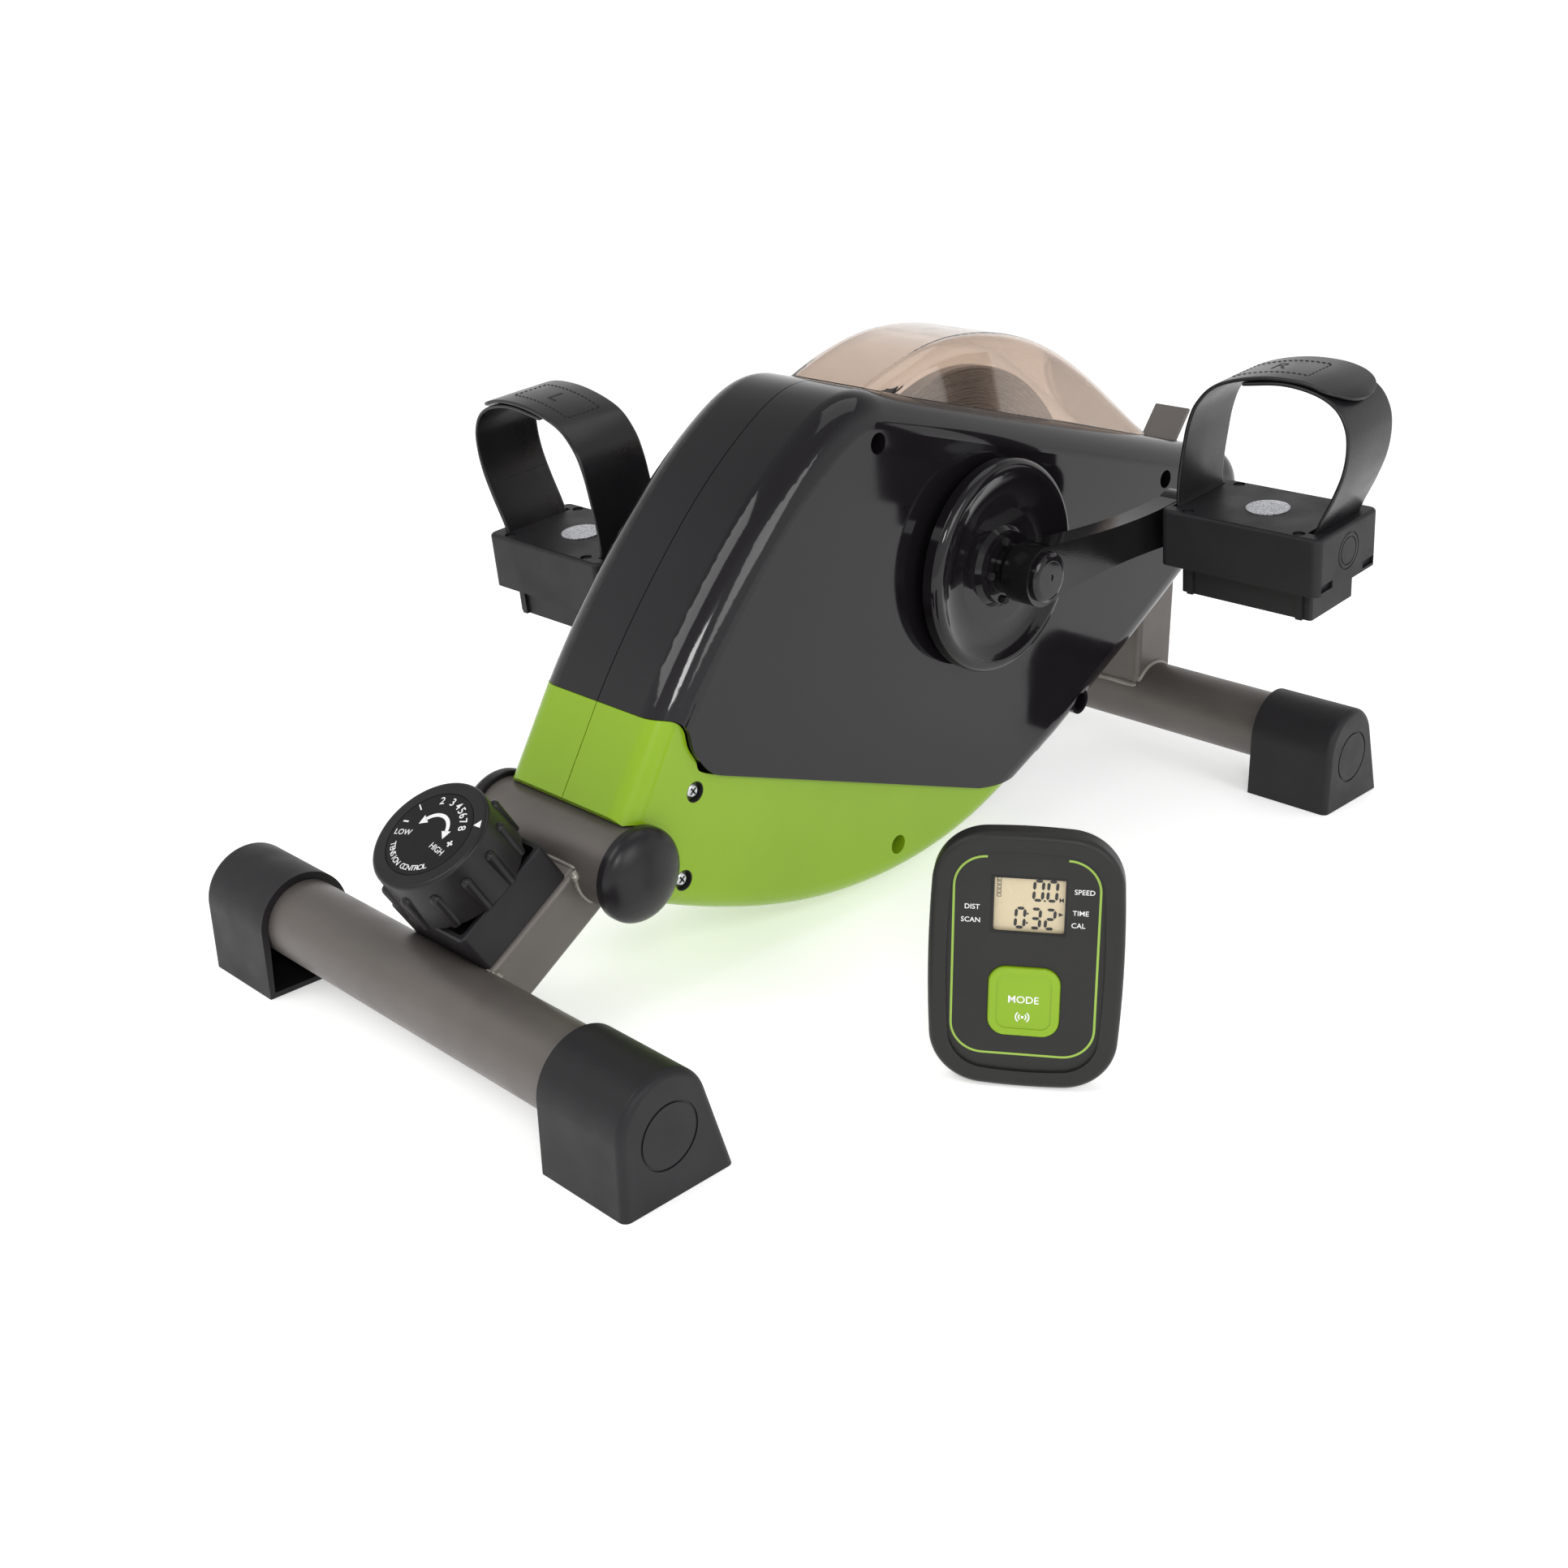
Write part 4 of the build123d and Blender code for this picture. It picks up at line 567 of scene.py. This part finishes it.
POINTER_ANGLE = 32.2
knob_top = reach("tension_knob", knob_axis) + LIFT
on_knob = on_face(moved_to(dial_centre, knob_axis, knob_top), across, upslope)
pointer = slab([(-0.0022, 0), (0.0020, 0.0023), (0.0020, -0.0023)])
pointer_place = on_knob(*polar(27.2, POINTER_ANGLE), POINTER_ANGLE)
keep("knob_pointer", joined([(*pointer, pointer_place)]), WHITE_PRINT, "knob")

# ---------------------------------------------------------------- console printing
press = JOINTS["mode_button_press"]
face_out = -Vector(press["axis"]).normalized()
face_right = Vector((-face_out.y, face_out.x, 0)).normalized()
face_up = face_out.cross(face_right)
button_rim = reach("mode_button", face_out)
# How far the button's face and the panel lie behind the button's rim, in metres.
BUTTON_DEPTH, PANEL_DEPTH = 0.0004, 0.0016


def console_face(node, level):
    """Places flat shapes on the console, about a node's middle, at a level along the normal."""
    return on_face(moved_to(middle(node), face_out, level + LIFT), face_right, face_up)


on_button = console_face("mode_button", button_rim - BUTTON_DEPTH)
on_panel = console_face("mode_button", button_rim - PANEL_DEPTH)
on_display = console_face("console_display", reach("console_display", face_out))

button_marks = [(*letters("MODE", 0.0053), on_button(0.0002, 0.0012))]
wave_place = on_button(0, -0.0078)
button_marks.append((*slab(arc_points(0.0007, 0, 345, 23)), wave_place))
for radius in (0.0018, 0.0032):
    for middle_turn in (0, 180):
        arc = arc_points(radius, middle_turn - 48, middle_turn + 48, 10)
        button_marks.append((*stroke(arc, 0.0006), wave_place))
keep("button_print", joined(button_marks), WHITE_PRINT, "mode_button")

labels = []
for word, x, y in (
    ("DIST", -0.0257, 0.0480), ("SCAN", -0.0262, 0.0412),
    ("SPEED", 0.0270, 0.0585), ("TIME", 0.0255, 0.0477), ("CAL", 0.0246, 0.0413),
):
    labels.append((*letters(word, 0.0036), on_panel(x, y)))
keep("console_labels", joined(labels), WHITE_PRINT, "console")


def ring_line():
    """The green line round the panel: rounded corners and a gap at its top."""
    half_w, low, high, corner = 0.0345, -0.0285, 0.0742, 0.0155
    path = arc_points(corner, 90, 0, 12, (half_w - corner, high - corner))
    path += arc_points(corner, 0, -90, 12, (half_w - corner, low + corner))
    path += arc_points(corner, -90, -180, 12, (-half_w + corner, low + corner))
    path += arc_points(corner, 180, 90, 12, (-half_w + corner, high - corner))
    return path


# A near-black line round the display: painted shade of the gap round its window.
gap_outline = [(-0.0166, 0.0359), (0.0186, 0.0359), (0.0186, 0.0645), (-0.0166, 0.0645)]
gap_shade_line = (*stroke(gap_outline, 0.0016, closed=True), on_panel(0, 0))
keep("display_gap_shade", joined([gap_shade_line]), RECESS_SHADE, "console")
panel_line = (*stroke(ring_line(), 0.0011), on_panel(0, 0))
keep("console_ring_line", joined([panel_line]), GREEN_PRINT, "console")

SEGMENTS = {"0": "abcdef", "2": "abged", "3": "abgcd"}
DIGIT_W, DIGIT_H, DIGIT_BAR, DIGIT_GAP, DIGIT_LEAN = 0.0041, 0.0098, 0.0015, 0.00025, 0.05


def digit(figure, x, y):
    """A seven-segment figure whose lower left corner is at (x, y) on the display."""
    w, h, bar, gap = DIGIT_W, DIGIT_H, DIGIT_BAR, DIGIT_GAP
    flat = [(gap, 0), (gap + bar / 2, bar / 2), (w - gap - bar / 2, bar / 2), (w - gap, 0)]
    level = flat + [(px, -py) for px, py in reversed(flat[1:3])]
    post = [(-py, px * (h / 2) / w) for px, py in level]
    spots = {
        "a": (level, 0, h), "g": (level, 0, h / 2), "d": (level, 0, 0),
        "f": (post, 0, h / 2), "e": (post, 0, 0), "b": (post, w, h / 2), "c": (post, w, 0),
    }
    made = []
    for key in SEGMENTS[figure]:
        outline, dx, dy = spots[key]
        outline = [(px + dx + (py + dy) * DIGIT_LEAN, py + dy) for px, py in outline]
        corners = zip(outline, outline[1:] + outline[:1])
        area = sum(a[0] * b[1] - b[0] * a[1] for a, b in corners)
        made.append((*slab(outline if area > 0 else outline[::-1]), on_display(x, y)))
    return made


UPPER_ROW, LOWER_ROW = 0.0022, -0.0122
reading = digit("0", 0.0017, UPPER_ROW) + digit("0", 0.0083, UPPER_ROW)
for figure, x in (("0", -0.0066), ("3", 0.0007), ("2", 0.0076)):
    reading += digit(figure, x, LOWER_ROW)
for x, y in ((0.0070, 0.0020), (-0.0010, -0.0098), (-0.0008, -0.0050)):
    reading.append((*slab(block(0.00045, 0.00045)), on_display(x, y)))
reading.append((*letters("M", 0.0032), on_display(0.0149, 0.0027)))
mode_arrow = slab([(-0.0010, -0.0011), (0.0012, 0), (-0.0010, 0.0011)])
reading.append((*mode_arrow, on_display(0.0148, -0.0046)))
for row in range(5):
    icon = stroke(block(0.0009, 0.0007), 0.0004, closed=True)
    reading.append((*icon, on_display(-0.0146, 0.0122 - row * 0.0021)))
keep("display_reading", joined(reading), LCD_INK, "console")


# ---------------------------------------------------------------- pedal straps
PITCH = radians(6)
PEDAL_UP = Vector((0, -sin(PITCH), cos(PITCH)))
PEDAL_REAR = Vector((0, cos(PITCH), sin(PITCH)))
STRAP_W, STRAP_T = 0.047, 0.0022
# The section's outline, as shares of half its width and half its thickness.
STRAP_PROFILE = [
    (-1, 0), (-1, 0.5), (-0.975, 0.9), (-0.93, 1), (0, 1.08), (0.93, 1), (0.975, 0.9), (1, 0.5),
    (1, 0), (1, -0.5), (0.975, -0.9), (0.93, -1), (0, -1), (-0.93, -1), (-0.975, -0.9), (-1, -0.5),
]
STRAP_CROWN = 1.06
STITCH = 0.0034


def smooth_line(points, steps=12):
    """Points of a Catmull-Rom curve through flat points."""
    ends = [points[0] * 2 - points[1], *points, points[-1] * 2 - points[-2]]
    made = []
    for a, b, c, d in zip(ends, ends[1:], ends[2:], ends[3:]):
        for i in range(steps):
            t = i / steps
            square, cube = a * 2 - b * 5 + c * 4 - d, b * 3 - a - c * 3 + d
            made.append((b * 2 + (c - a) * t + square * t * t + cube * t**3) / 2)
    return made + [points[-1]]


class Band:
    """A strap of constant thickness along a flat line in the plane of X and the pedal's up."""

    def __init__(self, centre, out, line):
        self.centre, self.out = centre, out
        self.line = smooth_line([Vector(p) / 1000 for p in line])
        self.length = [0.0]
        for a, b in zip(self.line, self.line[1:]):
            self.length.append(self.length[-1] + (b - a).length)

    def at(self, distance, across, height):
        """A point at a distance along the band, across its width and above its middle surface."""
        index = max(i for i, total in enumerate(self.length) if total <= distance or not i)
        index = min(index, len(self.line) - 2)
        share = (distance - self.length[index]) / (self.length[index + 1] - self.length[index])
        here = self.line[index].lerp(self.line[index + 1], share)
        before = self.line[max(index - 1, 0)]
        after = self.line[min(index + 2, len(self.line) - 1)]
        heading = (after - before).normalized()
        here = here + Vector((-heading.y, heading.x)) * height
        level = self.centre + Vector((here.x * self.out, 0, 0))
        return level + PEDAL_UP * here.y + PEDAL_REAR * across

    def shape(self, round_end):
        """The band's solid, its edges rounded, and its far end rounded if asked."""
        total = self.length[-1]
        stations = [total * i / 110 for i in range(111)]
        if round_end:
            stations = [total * i / 90 for i in range(80)]
            rest = total - stations[-1]
            stations += [total - rest * (1 - sin(pi / 2 * k / 22)) for k in range(1, 23)]
        points, faces = [], []
        half, thick = STRAP_W / 2, STRAP_T / 2
        nose = half * 0.8
        for station in stations:
            wide = half
            if round_end and total - station < nose:
                wide = half * sqrt(max(0.0008, 1 - (1 - (total - station) / nose) ** 2))
            points += [self.at(station, u * wide, v * thick) for u, v in STRAP_PROFILE]
        count = len(STRAP_PROFILE)
        for i in range(len(stations) - 1):
            for k in range(count):
                a, b = i * count + k, i * count + (k + 1) % count
                face = [a, b, b + count, a + count]
                faces.append(face if self.out > 0 else face[::-1])
        last = len(points) - count
        caps = [list(range(count - 1, -1, -1)), list(range(last, last + count))]
        faces += caps if self.out > 0 else [cap[::-1] for cap in caps]
        return points, faces, None


# The two bands' middle lines: millimetres outwards from and above the spindle's middle.
UPPER_LINE = [
    (36, 11), (0, 11), (-38, 11), (-45, 14), (-45.2, 30), (-42.3, 50), (-39, 66), (-33, 79.5),
    (-20, 91.3), (6, 98.6), (32, 99.4), (50, 94.6), (59, 89.5),
]
LOWER_LINE = [
    (42.6, 12), (46.5, 22), (53.5, 37), (59, 52), (61, 66), (59.5, 78), (53, 88.2), (40, 94.6),
    (20, 97), (-4, 94),
]
for side, out in (("right", 1), ("left", -1)):
    spindle = Vector(JOINTS[f"{side}_pedal_spin"]["pos_m"])
    body = f"{side}_pedal"
    upper, lower = Band(spindle, out, UPPER_LINE), Band(spindle, out, LOWER_LINE)
    bands = joined([upper.shape(True), lower.shape(False)])
    strap = keep(f"{side}_strap_bands", bands, STRAP, body, smooth=True)
    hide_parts(f"{side}_pedal_strap")
    stitches = []

    def stitch(band, start, end, level):
        """A thread between two (distance, across) places on a band."""
        first, last = (band.at(*place, level) for place in (start, end))
        crest = first.lerp(last, 0.5) + (first - spindle).normalized() * 0.0001
        stitches.append(tube([first, crest, last], [0.00022, 0.0003, 0.00022], 6))

    def seam(band, start, end, level):
        """A row of stitches between two places on a band."""
        run = Vector(end) - Vector(start)
        count = max(1, round(run.length / STITCH))
        for i in range(count):
            a, b = (Vector(start) + run * (i + part) / count for part in (0.15, 0.8))
            stitch(band, tuple(a), tuple(b), level)

    total = upper.length[-1]
    surface = STRAP_T / 2 * STRAP_CROWN
    first, last, wide = total - 0.079, total - 0.031, 0.0125
    corners = [(first, -wide), (last, -wide), (last, wide), (first, wide)]
    for a, b in zip(corners, corners[1:] + corners[:1]):
        seam(upper, a, b, surface)
    for band, place in ((upper, total - 0.172), (lower, 0.034)):
        seam(band, (place, -0.0215), (place, 0.0215), surface)
    centre = (first + last) / 2
    origin = upper.at(centre, 0, surface + 0.00005)
    along = upper.at(centre + 0.004, 0, surface) - upper.at(centre - 0.004, 0, surface)
    on_strap = on_face(origin, along.normalized() * out, PEDAL_REAR)
    letter = [(*letters("R" if out > 0 else "L", 0.016), on_strap(0, 0))]
    keep(f"{side}_strap_letter", joined(letter), THREAD, body)
    keep(f"{side}_strap_stitching", joined(stitches), THREAD, body, smooth=True)

# ---------------------------------------------------------------- screw details
# Middles of the cover screws' head tops, in machine millimetres: those in shallow wells, then
# those deep in theirs.
HEADS = [(46.5, 137.1, 118.0), (46.5, 127.3, 71.1), (-46.5, 137.1, 118.0), (-46.5, 127.3, 71.1)]
DEEP_HEADS = [(24.6, 272.5, 277.0), (24.6, 547.5, 206.0), (24.6, 467.0, 76.5), (21.0, 296.1, 34.0)]
# A lining's four edges: radius, and distance outwards from the head's top, in millimetres.
LINING_EDGES = ((5.78, -2.9), (5.78, 1.3), (5.3, 1.3), (5.3, -2.9))
LINING_SIDES = 32


def well_lining(x, y, z, hand):
    """A thin sleeve in a screw's well, round the head."""
    wall = []
    for radius, outwards in LINING_EDGES:
        for k in range(LINING_SIDES):
            turn = tau * k / LINING_SIDES
            wall.append(mm(x + hand * outwards, y + radius * cos(turn), z + radius * sin(turn)))
    faces = []
    for i in range(len(LINING_EDGES)):
        near, far = LINING_SIDES * i, LINING_SIDES * ((i + 1) % len(LINING_EDGES))
        for k in range(LINING_SIDES):
            after = (k + 1) % LINING_SIDES
            face = [near + k, near + after, far + after, far + k]
            faces.append(face if hand < 0 else face[::-1])
    return wall, faces, None


cross_shades, linings = [], []
for x, y, z in HEADS + DEEP_HEADS:
    hand = 1 if x > 0 else -1
    head_top = mm(x, y, z) + Vector((LIFT * hand, 0, 0))
    on_head = on_face(head_top, Vector((0, hand, 0)), Vector((0, 0, 1)))
    # Two near-black bars on each head top: painted shade in the cross recess.
    for turn in (38, 128):
        cross_shades.append((*slab(block(0.0024, 0.0005)), on_head(0, 0, turn)))
    if (x, y, z) in HEADS:
        linings.append(well_lining(x, y, z, hand))
keep("screw_cross_shades", joined(cross_shades), RECESS_SHADE, "frame")
keep("screw_well_linings", joined(linings), BLACK_MOULDING, "frame")


# ---------------------------------------------------------------- floor and light
FLOOR_HALF = 20
corners = [(x, y, 0) for x, y in block(FLOOR_HALF, FLOOR_HALF)]
floor_mesh = joined([(corners, [[0, 1, 2, 3]], None)])
floor = bpy.data.objects.new("floor", floor_mesh)
bpy.context.collection.objects.link(floor)
pale = Nodes("pale_floor").set(Roughness=0.6, Emission_Color=(1, 1, 1, 1), Emission_Strength=0.38)
pale.colour(pale.noise(3), (0.955, 0.955, 0.955), (0.97, 0.97, 0.97))
floor_mesh.materials.append(pale.material)
floor.location.z = -0.0002

# The sky is white to a little above the horizon and greyer overhead.
world = bpy.data.worlds.new("studio")
bpy.context.scene.world = world
world.use_nodes = True
sky = world.node_tree
direction = sky.nodes.new("ShaderNodeTexCoord").outputs["Generated"]
height = sky.nodes.new("ShaderNodeSeparateXYZ")
sky.links.new(direction, height.inputs["Vector"])
fade = sky.nodes.new("ShaderNodeValToRGB")
for element, place, grey in zip(fade.color_ramp.elements, (0.30, 0.75), (1.0, 0.42)):
    element.position, element.color = place, (grey, grey, grey, 1)
sky.links.new(height.outputs["Z"], fade.inputs["Fac"])
sky.links.new(fade.outputs["Color"], sky.nodes["Background"].inputs["Color"])
sky.nodes["Background"].inputs["Strength"].default_value = 1.06


def softbox(name, place, aim, size, power):
    """A square area light, its size in metres and power in watts, turned to a point."""
    data = bpy.data.lights.new(name, "AREA")
    data.size, data.energy = size, power
    lamp = bpy.data.objects.new(name, data)
    lamp.location = place
    lamp.rotation_euler = (Vector(aim) - Vector(place)).to_track_quat("-Z", "Y").to_euler()
    bpy.context.collection.objects.link(lamp)


MIDDLE = (0, 0, 0.15)
softbox("key", (-0.5, -1.5, 1.9), MIDDLE, 1.2, 15)
softbox("side", (2.2, -0.2, 1.2), MIDDLE, 1.0, 12)
softbox("edge", (1.28, -1.22, 1.17), MIDDLE, 0.35, 7)
softbox("top", (0.2, 0.6, 2.2), (0, 0, 0.2), 1.4, 6)
bpy.context.scene.view_settings.view_transform = "Standard"
